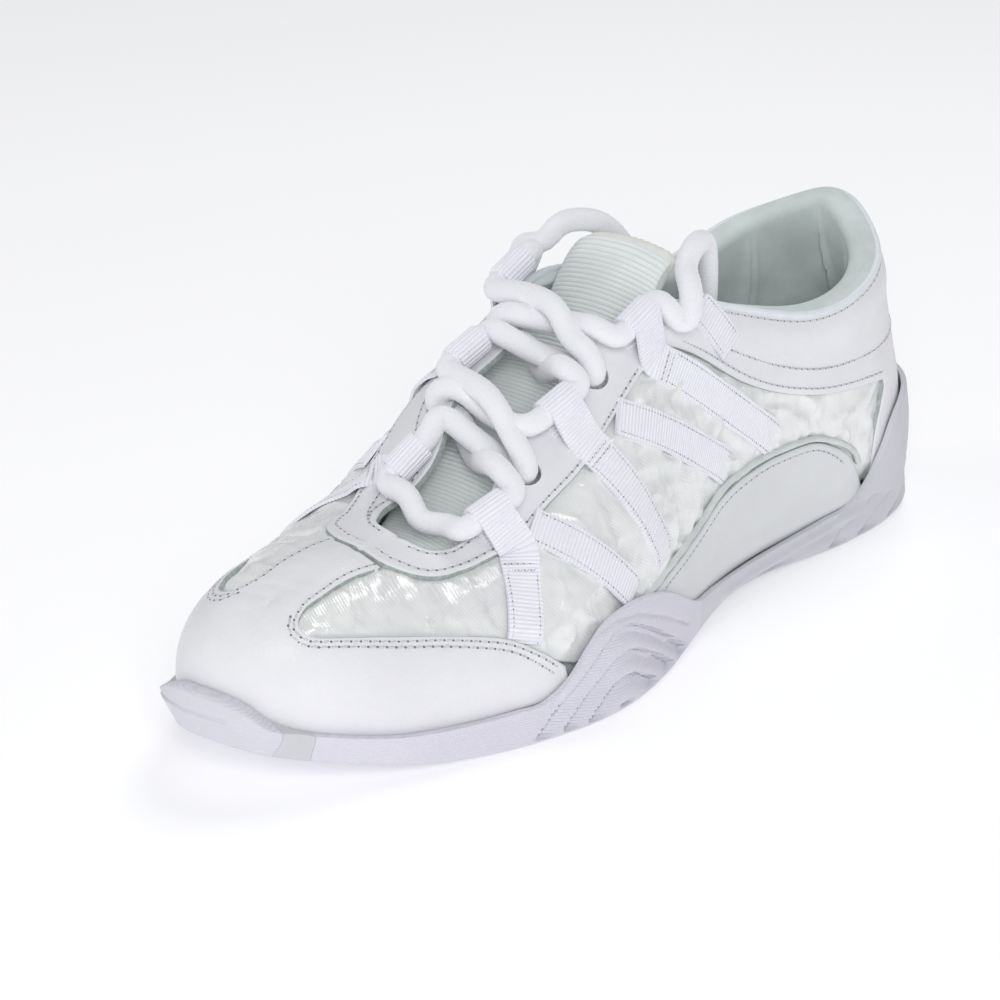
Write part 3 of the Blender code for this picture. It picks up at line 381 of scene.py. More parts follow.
def edge(q, side, tongue=False):
    """Throat edge point, direction into the throat and upward normal at station q."""
    own = q if side > 0 else TURN - q
    top = last([own], [edge_rib(q, side, tongue)])[0]
    other = last([TURN - own], [edge_rib(q, -side, tongue)])[0]
    into = unit(other - top)
    along = (top_line([q + 0.05])[0] + top_line([TURN - q - 0.05])[0]
             - top_line([q - 0.05])[0] - top_line([TURN - q + 0.05])[0])
    up = np.cross(into * side, along)
    up = unit(up)
    if up[2] < 0:
        up = -up
    return own, top, into, up


def rib_scale(own):
    """Millimetres to a whole rib fraction near the top line."""
    return np.linalg.norm(last([own], [1.0])[0] - last([own], [0.9])[0]) * 10


def beside(q, side, out, height):
    """Point near the throat edge: out mm onto the eyestay (negative into the throat), height above."""
    own, _, into, up = edge(q, side)
    v = edge_rib(q, side) - max(out, 0) / rib_scale(own)
    normal = normals([own], [min(v, 1.2)])[0]
    mix = min(max((out + 4) / 6, 0), 1)
    normal = normal * mix + up * (1 - mix)
    normal = unit(normal)
    return last([own], [v])[0] + into * max(-out, 0) + normal * height


def middle(q, height):
    """Point midway across the throat, height above its frame."""
    _, near, _, up = edge(q, 1)
    far = edge(q, -1)[1]
    return (near + far) / 2 + up * height


LOOP_OUT = 3.0
LOOP_UP = 5.0
LOOP_RISE = 12.0
LOOP_HALF = 8.0
UNDER = -3.9
OVER = 4.3
REACH = 3.0
LOOPS = (4.72, 5.74, 6.62)
HOLES = (5.28, 6.14)
HOLE_OUT = 5.6
HOLE_R = 3.9
TUCK = [(18.9, 21.5, 88), (17.8, 26.5, 92), (15.0, 34.0, 90.0), (12.0, 39.0, 81),
        (10.5, 40.5, 69), (10.0, 39.5, 58), (9.5, 36.5, 48)]
TOP_Q = (6.92, 6.98)
TOP_V = 0.87
TUCK_LAG = (0.0, -7.0)


def hole_turn(q, side, leave):
    """From under the eyestay edge up through the hole and back over the edge."""
    return [beside(q, side, -REACH, -3.6), beside(q, side, 0.5, UNDER),
            beside(q, side, HOLE_OUT - 1.5, -3.0), beside(q, side, HOLE_OUT + 0.1, 0.1),
            beside(q + 0.02, side, HOLE_OUT - 1.5, 3.4), beside(q + 0.06, side, 0.5, OVER),
            beside(q + leave, side, -REACH, OVER)]


def loop_frame(q, side):
    """Centre of a ribbon loop with its directions: into the throat, off the surface, along."""
    own, _, into, _ = edge(q, side)
    up = normals([own], [edge_rib(q, side) - LOOP_OUT / rib_scale(own)])[0]
    into = into - up * into.dot(up)
    into = unit(into)
    return beside(q, side, LOOP_OUT, LOOP_UP), into, up, np.cross(into, up) * side


def loop_turn(q, side):
    """Straight through a ribbon loop, along the throat."""
    centre, _, _, axis = loop_frame(q, side)
    return [centre + axis * LOOP_HALF * step for step in (-1.0, -0.55, 0.0, 0.55, 1.0)]


def half_lace(side, high):
    """Half the lace, from the bar at the bottom of the throat to its end inside the shoe."""
    over = 0.9 if high else -5.7
    lift = 7.6 if high else 1.0
    path = loop_turn(LOOPS[0], side)
    path += [beside(5.1, side, -0.6, 4.9), middle(5.18, over)]
    path += hole_turn(HOLES[0], -side, 0.1)
    path += [middle(5.42, lift), beside(5.45, side, -0.8, 4.8)]
    path += loop_turn(LOOPS[1], side)
    path += [beside(5.98, side, -0.4, 5.6), middle(6.05, over)]
    path += hole_turn(HOLES[1], -side, 0.08)
    path += [middle(6.34, lift), beside(6.37, side, -0.8, 5.0)]
    path += loop_turn(LOOPS[2], side)
    pick = 0 if side > 0 else 1
    own = TOP_Q[pick] if side > 0 else TURN - TOP_Q[pick]
    top = last([own], [TOP_V])[0]
    out = normals([own], [TOP_V])[0]
    lag = TUCK_LAG[pick]
    path += [top + out * 4.8 + np.array([0, 0, 1.0]),
             top + out * 5.0 + np.array([0, 2.0 + lag / 4, 8.0])]
    path += [np.array([side * x, y + lag * min(1.0, (41 - y) / 15), z]) for x, y, z in TUCK]
    return path


def tongue_rows():
    """Cross-sections of the tongue, from its sewn base up to the free top edge."""
    rows = []
    for q, spare in TONGUE_ROWS:
        _, near, _, up = edge(q, 1, True)
        far = edge(q, -1, True)[1]
        centre = (near + far) / 2
        across = unit(near - far)
        half = np.linalg.norm(near - far) / 2 + spare
        rows.append([centre + across * half * k + up * (TONGUE_DEPTH - 2.5 * k * k)
                     for k in TONGUE_COLUMNS])
    for shift in TONGUE_TOP:
        centre = np.mean(rows[7], axis=0)
        rows.append([centre + (p - centre) * shift[2] + np.array([0, shift[0], shift[1]])
                     for p in rows[7]])
    return rows


# Station and how far each side runs past the throat edge; then the free top: back, up, width.
TONGUE_ROWS = [(4.05, 3.5), (4.4, 3.5), (4.8, 3.5), (5.2, 3.5), (5.6, 3.0), (6.0, 2.0),
               (6.4, 0.0), (6.8, -2.5)]
TONGUE_TOP = [(4.0, 6.5, 0.98), (7.5, 12.0, 0.95), (11.0, 15.5, 0.92), (14.5, 16.5, 0.88)]
TONGUE_COLUMNS = (-1.0, -0.67, -0.33, 0.0, 0.33, 0.67, 1.0)
TONGUE_DEPTH = -8.6
KNIT_GRID = (560, 41)
PAD_GRID = (140, 31)


# ---- noise, smooth runs and mesh making

def fuzz(points, size, seed=0):
    """Smooth noise from -1 to 1, one value a point, with bumps about size millimetres wide."""
    place = np.asarray(points, float) / size + seed * 17.31
    cell = np.floor(place).astype(np.int64)
    t = place - cell
    t = t * t * (3 - 2 * t)
    total = np.zeros(len(place))
    for corner in range(8):
        step = np.array([corner & 1, corner >> 1 & 1, corner >> 2 & 1])
        key = (cell + step) @ np.array([73856093, 19349663, 83492791])
        key = ((key ^ (key >> 13)) * 1274126177) & 0x7FFFFFFF
        value = ((key ^ (key >> 16)) % 65536) / 32767.5 - 1
        total += value * np.prod(np.where(step, t, 1 - t), axis=1)
    return total


def ease(x, low, high):
    """Smooth step from 0 at low to 1 at high."""
    t = np.clip((np.asarray(x, float) - low) / (high - low), 0, 1)
    return t * t * (3 - 2 * t)


def through(points, step):
    """Catmull-Rom curve through points, resampled evenly at about step."""
    pts = np.asarray(points, float)
    ends = np.vstack([2 * pts[0] - pts[1], pts, 2 * pts[-1] - pts[-2]])
    fine = []
    t = (np.arange(24) / 24)[:, None]
    for i in range(1, len(ends) - 2):
        a, b, c, d = ends[i - 1:i + 3]
        fine.append(0.5 * (2 * b + (c - a) * t + (2 * a - 5 * b + 4 * c - d) * t ** 2
                           + (3 * b - a - 3 * c + d) * t ** 3))
    return even(np.vstack(fine + [pts[-1:]]), step)


def even(points, step):
    """The same run with points at even distances."""
    gap = np.linalg.norm(np.diff(points, axis=0), axis=1)
    length = np.concatenate([[0], np.cumsum(gap)])
    count = max(2, int(round(length[-1] / step)) + 1)
    at = np.linspace(0, length[-1], count)
    return np.stack([np.interp(at, length, points[:, k]) for k in range(points.shape[1])], -1)


def flow(points, step):
    """Fine run through (q, v) points; a run along the ridge keeps even station steps."""
    pts = np.array(points, float)
    if len(pts) == 2 and pts[0, 1] == 1 and pts[1, 1] == 1:
        count = max(1, int(round(abs(pts[1, 0] - pts[0, 0]) / 0.05)))
        count += count % 2
        t = np.arange(count)[:, None] / count
        return pts[0] + (pts[1] - pts[0]) * t
    scale = np.array([AROUND / TURN, RIB_LENGTH])
    return through(pts * scale, step)[:-1] / scale


def outline(runs, step):
    loop = np.vstack([flow(run, step) for run in runs])
    return np.stack([arc(loop[:, 0]), loop[:, 1] * RIB_LENGTH], -1)


def on_last(flat, depth):
    return skin(station(flat[:, 0]), np.maximum(flat[:, 1] / RIB_LENGTH, 0), depth)


def inside(loop, points):
    x, y = points[:, 0:1], points[:, 1:2]
    x1, y1 = loop[:, 0], loop[:, 1]
    x2, y2 = np.roll(x1, 1), np.roll(y1, 1)
    rise = np.where(np.abs(y2 - y1) < 1e-12, 1e-12, y2 - y1)
    hit = ((y1 > y) != (y2 > y)) & (x < (x2 - x1) * (y - y1) / rise + x1)
    return hit.sum(1) % 2 == 1


def gap_to(points, starts, ends):
    """Distance of each point to the nearest of the segments."""
    best = np.full(len(points), 1e9)
    way = ends - starts
    size = np.maximum((way ** 2).sum(1), 1e-12)
    for first in range(0, len(points), 2000):
        part = points[first:first + 2000, None, :] - starts
        t = np.clip((part * way).sum(2) / size, 0, 1)
        away = part - t[:, :, None] * way
        best[first:first + 2000] = np.sqrt((away ** 2).sum(2)).min(1)
    return best


def triangles(loop, inner):
    """Triangles of an outline with inner points; the outline's points come first."""
    places = [Vector(p) for p in np.vstack([loop, inner])]
    count = len(loop)
    rim = [(i, (i + 1) % count) for i in range(count)]
    verts, _, faces, _, _, _ = delaunay_2d_cdt(places, rim, [], 0, 1e-7)
    flat = np.array([tuple(p) for p in verts])
    tris = np.array([f for f in faces if len(f) == 3])
    middle = flat[tris].mean(1)
    return flat, tris[inside(loop, middle)]


def dots(loop, grid, clear):
    """Even inner points, clear of the outline."""
    low, high = loop.min(0), loop.max(0)
    rows = []
    for k, y in enumerate(np.arange(low[1] + grid / 2, high[1], grid * 0.87)):
        x = np.arange(low[0] + grid * (0.5 if k % 2 else 1.0), high[0], grid)
        rows.append(np.stack([x, np.full(len(x), y)], -1))
    points = np.vstack(rows)
    points = points[inside(loop, points)]
    return points[gap_to(points, loop, np.roll(loop, -1, 0)) > clear]


def solid(name, verts, faces, mats, zones=None, weld=0.0, sharp=45, uv=None, round_uv=None):
    """Mesh object from millimetre points, faces turned outward, smooth but for sharp edges."""
    mesh = bpy.data.meshes.new(name)
    mesh.from_pydata((np.asarray(verts, float) * MM).tolist(), [], [tuple(map(int, f)) for f in faces])
    for mat in mats:
        mesh.materials.append(mat)
    if zones is not None:
        mesh.polygons.foreach_set("material_index", np.asarray(zones, np.int32))
    if uv is not None:
        layer = mesh.uv_layers.new(name="flat")
        corner = np.zeros(len(mesh.loops), np.int32)
        mesh.loops.foreach_get("vertex_index", corner)
        spread = np.asarray(uv, np.float32)[corner]
        if round_uv is not None:
            starts = np.zeros(len(mesh.polygons), np.int32)
            sizes = np.zeros(len(mesh.polygons), np.int32)
            mesh.polygons.foreach_get("loop_start", starts)
            mesh.polygons.foreach_get("loop_total", sizes)
            most = np.repeat(np.maximum.reduceat(spread[:, 1], starts), sizes)
            spread[:, 1] += np.where(spread[:, 1] < most - round_uv / 2, round_uv, 0)
        layer.data.foreach_set("uv", spread.ravel())
    bm = bmesh.new()
    bm.from_mesh(mesh)
    if weld:
        bmesh.ops.remove_doubles(bm, verts=bm.verts, dist=weld * MM)
    bmesh.ops.recalc_face_normals(bm, faces=bm.faces)
    for face in bm.faces:
        face.smooth = True
    bm.to_mesh(mesh)
    bm.free()
    mesh.set_sharp_from_angle(angle=math.radians(sharp))
    return placed(name, mesh)


def placed(name, mesh):
    """New object in the scene."""
    item = bpy.data.objects.new(name, mesh)
    bpy.context.scene.collection.objects.link(item)
    return item


def settle(item, body, slot_name, *nodes):
    """Put a finished piece on its body, in place of its CAD nodes."""
    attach(item, body)
    if nodes:
        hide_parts(*nodes)
    return item


def sewn(name, outlines, layer, mats, grid=2.0, relief=None, skirt=0.6, roll=0.9, step=1.1):
    """Closed panel on the last: a rolled edge, relief on top, a cut edge down to its underside."""
    verts, faces, zones = [], [], []
    start = 0
    for runs in outlines:
        loop = outline(runs, step)
        area = (loop[:, 0] * np.roll(loop[:, 1], -1) - np.roll(loop[:, 0], -1) * loop[:, 1]).sum()
        count = len(loop)
        ridge = (loop[:, 1] > RIB_LENGTH - 1e-6) & (np.abs(station(loop[:, 0])) <= THROAT)
        free = ~(ridge & np.roll(ridge, -1))
        along = np.roll(loop, -1, 0) - np.roll(loop, 1, 0)
        inward = np.stack([-along[:, 1], along[:, 0]], -1) * np.sign(area)
        inward = inward / np.maximum(np.linalg.norm(inward, axis=1), 1e-9)[:, None]
        base3 = on_last(loop, layer[0])
        near3 = on_last(loop + inward * 0.4, layer[0])
        stretch = np.clip(np.linalg.norm(near3 - base3, axis=1) / 0.4, 0.35, 2.5)
        own = ~ridge
        inner = [dots(loop, grid, roll + 0.45 * grid)]
        for share in (0.18, 0.5, 1.0, 1.6):
            row = (loop + inward * (roll * share / stretch)[:, None])[own]
            row = row[inside(loop, row)]
            keep = gap_to(row, loop, np.roll(loop, -1, 0)) > 0.1 * roll
            inner.append(row[keep])
        inner = np.vstack(inner)
        flat, tris = triangles(loop, inner)
        spot = on_last(flat, layer[0])
        a3, b3 = base3[free], np.roll(base3, -1, 0)[free]
        far = gap_to(spot, a3, b3)
        crown = 0.3 + 0.7 * np.sqrt(1 - (1 - np.clip(far / roll, 0, 1)) ** 2)
        depth = layer[0] + layer[1] * crown
        if relief is not None:
            depth = depth + relief(station(flat[:, 0]), flat[:, 1] / RIB_LENGTH, spot, far)
        top = on_last(flat, depth)
        verts.append(top)
        faces += [tuple(t + start) for t in tris]
        zones += [1 if far[t].max() < roll * 0.35 else 0 for t in tris]
        low_flat, low_tris = triangles(loop, dots(loop, 7.0, 3.0))
        low = on_last(low_flat, layer[0] - skirt)
        verts.append(low)
        low_start = start + len(top)
        faces += [tuple(t[::-1] + low_start) for t in low_tris]
        zones += [0] * len(low_tris)
        for i in np.nonzero(free)[0]:
            j = (i + 1) % count
            faces.append((start + j, start + i, low_start + i, low_start + j))
            zones.append(1)
        start = low_start + len(low)
    mats = mats if len(mats) > 1 else mats * 2
    return solid(name, np.vstack(verts), faces, mats, zones, weld=0.002)


def frames(points):
    """Tangent, side and up at each point of a run, turned as little as possible."""
    way = np.gradient(points, axis=0)
    way = unit(way)
    side = np.zeros_like(points)
    first = np.cross(way[0], [0, 0, 1.0])
    side[0] = unit(first)
    for i in range(1, len(points)):
        turned = side[i - 1] - way[i] * side[i - 1].dot(way[i])
        side[i] = unit(turned)
    return way, side, np.cross(way, side)


def swept(points, side, up, profile):
    """Grid of points: a profile of (side, up) pairs carried along a run."""
    profile = np.asarray(profile, float)
    if profile.ndim == 2:
        profile = np.broadcast_to(profile, (len(points),) + profile.shape)
    return (points[:, None, :] + side[:, None, :] * profile[:, :, 0:1]
            + up[:, None, :] * profile[:, :, 1:2])


def skin_grid(grid, caps=True):
    """Vertices and faces of a (rows, ring) grid, with its ends closed by fans of one polygon."""
    rows, ring = grid.shape[:2]
    verts = grid.reshape(-1, 3)
    i, k = np.meshgrid(np.arange(rows - 1), np.arange(ring), indexing="ij")
    a = i * ring + k
    b = i * ring + (k + 1) % ring
    quads = np.stack([a, b, b + ring, a + ring], -1).reshape(-1, 4)
    faces = [tuple(q) for q in quads]
    if caps:
        faces.append(tuple(range(ring))[::-1])
        faces.append(tuple(range((rows - 1) * ring, rows * ring)))
    return verts, faces


def cord_mesh(name, points, radius, mats, sides=20, relief=None, sharp=60):
    """Round cord along points; relief(s, angle) is added to its radius."""
    _, side, up = frames(points)
    gap = travelled(points)
    angle = np.arange(sides) / sides * 2 * math.pi
    size = np.broadcast_to(np.asarray(radius, float), (len(points),))[:, None] * np.ones(sides)
    if relief is not None:
        size = size + relief(gap[:, None], angle[None, :])
    profile = np.stack([np.cos(angle) * size, np.sin(angle) * size], -1)
    grid = swept(points, side, up, profile)
    verts, faces = skin_grid(grid)
    uv = np.stack([np.repeat(gap, sides), np.tile(angle / (2 * math.pi) * UV_ROUND, len(points))], -1)
    return solid(name, verts, faces, mats, sharp=sharp, uv=uv / 10, round_uv=UV_ROUND / 10)


# ---- materials

class Look:
    """Node material with its coordinates, bump chain and colour chain."""

    def __init__(self, name, colour, rough, **sockets):
        self.mat = bpy.data.materials.new(name)
        self.mat.use_nodes = True
        self.tree = self.mat.node_tree
        self.shader = self.tree.nodes["Principled BSDF"]
        self.colour = colour
        self.shader.inputs["Base Color"].default_value = (*colour, 1)
        self.shader.inputs["Roughness"].default_value = rough
        for key, value in sockets.items():
            self.shader.inputs[key.replace("_", " ")].default_value = value
        self.coords = self.node("TexCoord")
        self.bumped = None

    def node(self, kind, **sockets):
        found = self.tree.nodes.new("ShaderNode" + kind)
        for key, value in sockets.items():
            found.inputs[key.replace("_", " ")].default_value = value
        return found

    def join(self, out, into):
        self.tree.links.new(out, into)

    def place(self, scale=(1, 1, 1), turn=(0, 0, 0), source="Object"):
        node = self.node("Mapping")
        node.inputs["Scale"].default_value = scale
        node.inputs["Rotation"].default_value = [math.radians(a) for a in turn]
        self.join(self.coords.outputs[source], node.inputs["Vector"])
        return node.outputs["Vector"]

    def noise(self, size, detail=3.0, where=None, rough=0.55, warp=0.0):
        node = self.node("TexNoise")
        node.inputs["Scale"].default_value = 1 / (size * MM)
        node.inputs["Detail"].default_value = detail
        node.inputs["Roughness"].default_value = rough
        node.inputs["Distortion"].default_value = warp
        self.join(where or self.coords.outputs["Object"], node.inputs["Vector"])
        return node.outputs["Fac"]

    def cells(self, size):
        node = self.node("TexVoronoi")
        node.inputs["Scale"].default_value = 1 / (size * MM)
        self.join(self.coords.outputs["Object"], node.inputs["Vector"])
        return node.outputs["Distance"]

    def bands(self, pitch, turn=(0, 0, 0), direction="Z", source="Object", warp=0.0):
        """Even bands pitch millimetres apart, across the turned axis."""
        unit = MM if source == "Object" else 0.1
        node = self.node("TexWave")
        node.bands_direction = direction
        node.inputs["Scale"].default_value = math.pi / 10 / (pitch * unit)
        node.inputs["Distortion"].default_value = warp
        node.inputs["Detail"].default_value = 1.0
        self.join(self.place(turn=turn, source=source), node.inputs["Vector"])
        return node.outputs["Fac"]

    def stripes(self, way, pitch, sway=0.0):
        """Even stripes across a direction, pitch millimetres apart, from 0 to 1."""
        way = np.array(way, float) / np.linalg.norm(way)
        dot = self.node("VectorMath")
        dot.operation = "DOT_PRODUCT"
        dot.inputs[1].default_value = way * 2 * math.pi / (pitch * MM)
        self.join(self.coords.outputs["Object"], dot.inputs[0])
        value = dot.outputs["Value"]
        if sway:
            shift = self.node("Math")
            shift.operation = "MULTIPLY_ADD"
            shift.inputs[1].default_value = sway
            self.join(self.noise(6, 1), shift.inputs[0])
            self.join(value, shift.inputs[2])
            value = shift.outputs["Value"]
        wave = self.node("Math")
        wave.operation = "SINE"
        self.join(value, wave.inputs[0])
        half = self.node("Math")
        half.operation = "MULTIPLY_ADD"
        half.inputs[1].default_value = 0.5
        half.inputs[2].default_value = 0.5
        self.join(wave.outputs["Value"], half.inputs[0])
        return half.outputs["Value"]

    def bump(self, height, distance, strength=1.0):
        node = self.node("Bump")
        node.inputs["Strength"].default_value = strength
        node.inputs["Distance"].default_value = distance * MM
        self.join(height, node.inputs["Height"])
        if self.bumped is not None:
            self.join(self.bumped, node.inputs["Normal"])
        self.bumped = node.outputs["Normal"]
        self.join(self.bumped, self.shader.inputs["Normal"])

    def tint(self, factor, other, low=0.35, high=0.65, flip=False):
        """Blend the colour towards another where factor is high, or low when flipped."""
        ramp = self.node("ValToRGB")
        ramp.color_ramp.elements[0].position = low
        ramp.color_ramp.elements[1].position = high
        ramp.color_ramp.elements[1 if flip else 0].color = (*self.colour, 1)
        ramp.color_ramp.elements[0 if flip else 1].color = (*other, 1)
        self.join(factor, ramp.inputs["Fac"])
        old = self.shader.inputs["Base Color"].links
        if old:
            mix = self.node("Mix")
            mix.data_type = "RGBA"
            mix.blend_type = "DARKEN"
            mix.inputs["Factor"].default_value = 1.0
            self.join(old[0].from_socket, mix.inputs["A"])
            self.join(ramp.outputs["Color"], mix.inputs["B"])
            self.join(mix.outputs["Result"], self.shader.inputs["Base Color"])
        else:
            self.join(ramp.outputs["Color"], self.shader.inputs["Base Color"])

    def gloss(self, factor, low, high):
        """Roughness from low to high with factor."""
        node = self.node("MapRange")
        node.inputs["To Min"].default_value = low
        node.inputs["To Max"].default_value = high
        self.join(factor, node.inputs["Value"])
        self.join(node.outputs["Result"], self.shader.inputs["Roughness"])


def leather_look(name, colour, grain=0.05):
    look = Look(name, colour, 0.4, Specular_IOR_Level=0.45)
    look.tint(look.noise(16, 4), tuple(c * 0.955 for c in colour))
    look.gloss(look.noise(7, 3), 0.33, 0.5)
    look.bump(look.cells(0.75), grain)
    look.bump(look.noise(0.35, 2), 0.02)
    look.bump(look.noise(5, 4, look.place((1, 0.35, 1), (0, 0, 20))), 0.12, 0.5)
    return look.mat


def edge_look():
    look = Look("cut_edge", (0.50, 0.55, 0.52), 0.85)
    look.tint(look.noise(1.2, 3), (0.34, 0.39, 0.37))
    look.bump(look.noise(0.3, 2), 0.08)
    return look.mat


def satin_look():
    look = Look("satin", (0.94, 0.945, 0.935), 0.25, Specular_IOR_Level=0.9, Sheen_Weight=0.15,
                Anisotropic=0.4, Metallic=0.08)
    folds = look.noise(5.5, 2.5, look.place((1, 1, 0.4), (25, 0, 35)), 0.5, 1.0)
    # painted shade: the fold noise darkens the satin's colour along its folds, standing in for the shade in
    # the wrinkles; the same noise also raises the folds as a bump
    look.tint(folds, (0.78, 0.80, 0.785), 0.42, 0.72)
    look.tint(look.noise(16, 3), (0.86, 0.87, 0.86), 0.4, 0.7)
    twill = look.stripes(TWILL, 0.5, 2.0)
    look.tint(twill, (0.84, 0.86, 0.84), 0.0, 0.45, flip=True)
    look.bump(folds, 0.5, 0.7)
    look.bump(twill, 0.03, 0.8)
    look.gloss(look.noise(5, 3), 0.16, 0.3)
    return look.mat


def ribbon_look():
    look = Look("ribbon", (0.97, 0.97, 1.0), 0.6, Sheen_Weight=0.3, Specular_IOR_Level=0.4)
    ribs = look.bands(RIB_PITCH, (0, 0, 0), "X", "UV")
    # painted shade: the troughs between the cross ribs are tinted darker, standing in for the shade in the
    # rib grooves
    look.tint(ribs, (0.80, 0.81, 0.90), 0.0, 0.35, flip=True)
    look.tint(look.noise(4, 3), (0.91, 0.91, 0.98))
    look.bump(ribs, 0.1)
    look.bump(look.noise(0.25, 2), 0.03)
    return look.mat


def lace_look():
    look = Look("lace", (0.91, 0.91, 0.935), 0.85, Sheen_Weight=0.5, Specular_IOR_Level=0.3)
    braid = look.bands(0.9, (0, 0, 45), "X", "UV", warp=0.3)
    cross = look.bands(0.9, (0, 0, -45), "X", "UV", warp=0.3)
    look.bump(braid, 0.05, 0.6)
    look.bump(cross, 0.05, 0.6)
    look.bump(look.noise(0.4, 3), 0.05)
    look.tint(look.noise(6, 2), (0.89, 0.90, 0.93))
    return look.mat


def cloth_look(name, colour, pitch=0.55, dark=0.86):
    look = Look(name, colour, 0.85, Sheen_Weight=0.4, Specular_IOR_Level=0.25)
    look.tint(look.noise(11, 4), tuple(c * dark for c in colour))
    look.bump(look.stripes((0.6, 0.5, 0.6), pitch, 5.0), 0.03, 0.6)
    look.bump(look.stripes((0.6, 0.5, -0.6), pitch, 5.0), 0.03, 0.6)
    look.bump(look.noise(0.5, 2), 0.05)
    return look.mat


def knit_look():
    look = Look("knit", (0.93, 0.965, 0.955), 0.8, Sheen_Weight=0.4, Specular_IOR_Level=0.3)
    look.tint(look.noise(7, 3), (0.86, 0.905, 0.89))
    # painted shade: the troughs between the tongue's cross ribs are tinted darker, standing in for the shade
    # in their grooves
    look.tint(look.bands(KNIT_PITCH, (0, 0, 0), "X", "UV"), (0.75, 0.80, 0.78), 0.0, 0.42, flip=True)
    look.bump(look.bands(0.5, (0, 0, 0), "X", warp=0.4), 0.07, 0.8)
    look.bump(look.noise(0.3, 2), 0.05)
    return look.mat


def rubber_look(name, colour, ribs=0.55):
    look = Look(name, colour, 0.5, Specular_IOR_Level=0.4)
    look.tint(look.noise(14, 4), tuple(c * 0.95 for c in colour))
    if ribs:
        fine = look.stripes((0.05, 0.03, 1.0), ribs)
        # painted shade: the troughs of the fine ribs are tinted darker, standing in for the shade in the
        # grooves
        look.tint(fine, tuple(c * 0.91 for c in colour), 0.0, 0.5, flip=True)
        look.bump(fine, 0.06)
        look.bump(look.stripes((0.7, -0.7, 0.0), 0.6), 0.03)
    look.bump(look.noise(0.5, 3), 0.03)
    look.gloss(look.noise(6, 3), 0.42, 0.6)
    return look.mat


def plain_look(name, colour, rough, size=1.0, depth=0.04, shade=0.9, **sockets):
    look = Look(name, colour, rough, **sockets)
    look.tint(look.noise(size * 8, 3), tuple(c * shade for c in colour))
    look.bump(look.noise(size, 3), depth)
    return look.mat


LEATHER_MAT = leather_look("leather", (0.86, 0.86, 0.885))
# painted shade: the arch panel is a darker copy of the white leather, standing in for the shade on this
# downward-facing, concave panel
ARCH_MAT = leather_look("arch_leather", (0.76, 0.775, 0.79), 0.02)
EDGE_MAT = edge_look()
SATIN_MAT = satin_look()
RIBBON_MAT = ribbon_look()
LACE_MAT = lace_look()
# painted shade: these white mesh cloths are coloured grey-green and darker the deeper they lie in the shoe,
# standing in for the shade inside it
LINING_MAT = cloth_look("lining", (0.66, 0.73, 0.70))
COLLAR_MAT = cloth_look("collar_cloth", (0.70, 0.775, 0.75), 0.5)
SOCK_MAT = cloth_look("sock_cloth", (0.62, 0.68, 0.66), 0.8)
KNIT_MAT = knit_look()
RIM_MAT = plain_look("rim_binding", (0.82, 0.87, 0.90), 0.35, 0.5, 0.03, 0.95, Sheen_Weight=0.3)
BINDING_MAT = plain_look("tongue_binding", (0.86, 0.86, 0.80), 0.7, 0.4, 0.06, 0.93)
RUBBER_MAT = rubber_look("rubber", (0.76, 0.75, 0.83))
BUMPER_MAT = rubber_look("bumper_rubber", (0.74, 0.735, 0.80))
PLAIN_RUBBER_MAT = rubber_look("plain_rubber", (0.65, 0.65, 0.68), 0)
HEEL_MAT = rubber_look("heel_rubber", (0.67, 0.675, 0.715), 0)
PIPING_MAT = plain_look("piping", (0.74, 0.78, 0.76), 0.6, 0.5, 0.05, 0.86)
THREAD_MAT = plain_look("thread", (0.70, 0.71, 0.74), 0.6, 0.3, 0.05, 0.85)
# painted shade: a near-black colour for the dots that stand in for the shadow inside each needle hole
HOLE_SHADE_MAT = plain_look("needle_hole_shade", (0.24, 0.26, 0.27), 0.9, 0.3, 0.02, 0.8)
AGLET_MAT = plain_look("aglet", (0.88, 0.88, 0.88), 0.25, 0.8, 0.01, 0.96)
FOAM_MAT = plain_look("foam", (0.82, 0.82, 0.80), 0.9, 0.6, 0.08, 0.92)
BOARD_MAT = plain_look("board", (0.60, 0.54, 0.44), 0.9, 0.5, 0.06, 0.85)


# ---- stitches

LEATHER_TOP = LEATHER[0] + LEATHER[1]
STITCHES = []


def capsule(centre, way, up, length, radius, flat=0.75, slant=0.0):
    """Small rounded thread with its ends turned down."""
    side = np.cross(up, way)
    way = way * math.cos(slant) + side * math.sin(slant)
    side = np.cross(up, way)
    rings = [(-0.5, 0.45, -0.5), (-0.36, 0.9, -0.1), (0.0, 1.0, 0.12), (0.36, 0.9, -0.1), (0.5, 0.45, -0.5)]
    angle = np.arange(6) / 6 * 2 * math.pi
    return np.array([[centre + way * length * s + side * math.cos(a) * radius * r
                      + up * (math.sin(a) * radius * r * flat + radius * lift) for a in angle]
                     for s, r, lift in rings])


# painted shade: a small dark dot on the surface where a needle hole's shadow would be; no hole is cut
def hole_shade_dot(centre, way, up, size):
    side = np.cross(up, way)
    angle = np.arange(6) / 6 * 2 * math.pi
    ring = [centre + way * math.cos(a) * size * 1.15 + side * math.sin(a) * size * 0.9 for a in angle]
    return np.array([ring, [centre + up * 0.07 + (p - centre) * 0.5 for p in ring]])


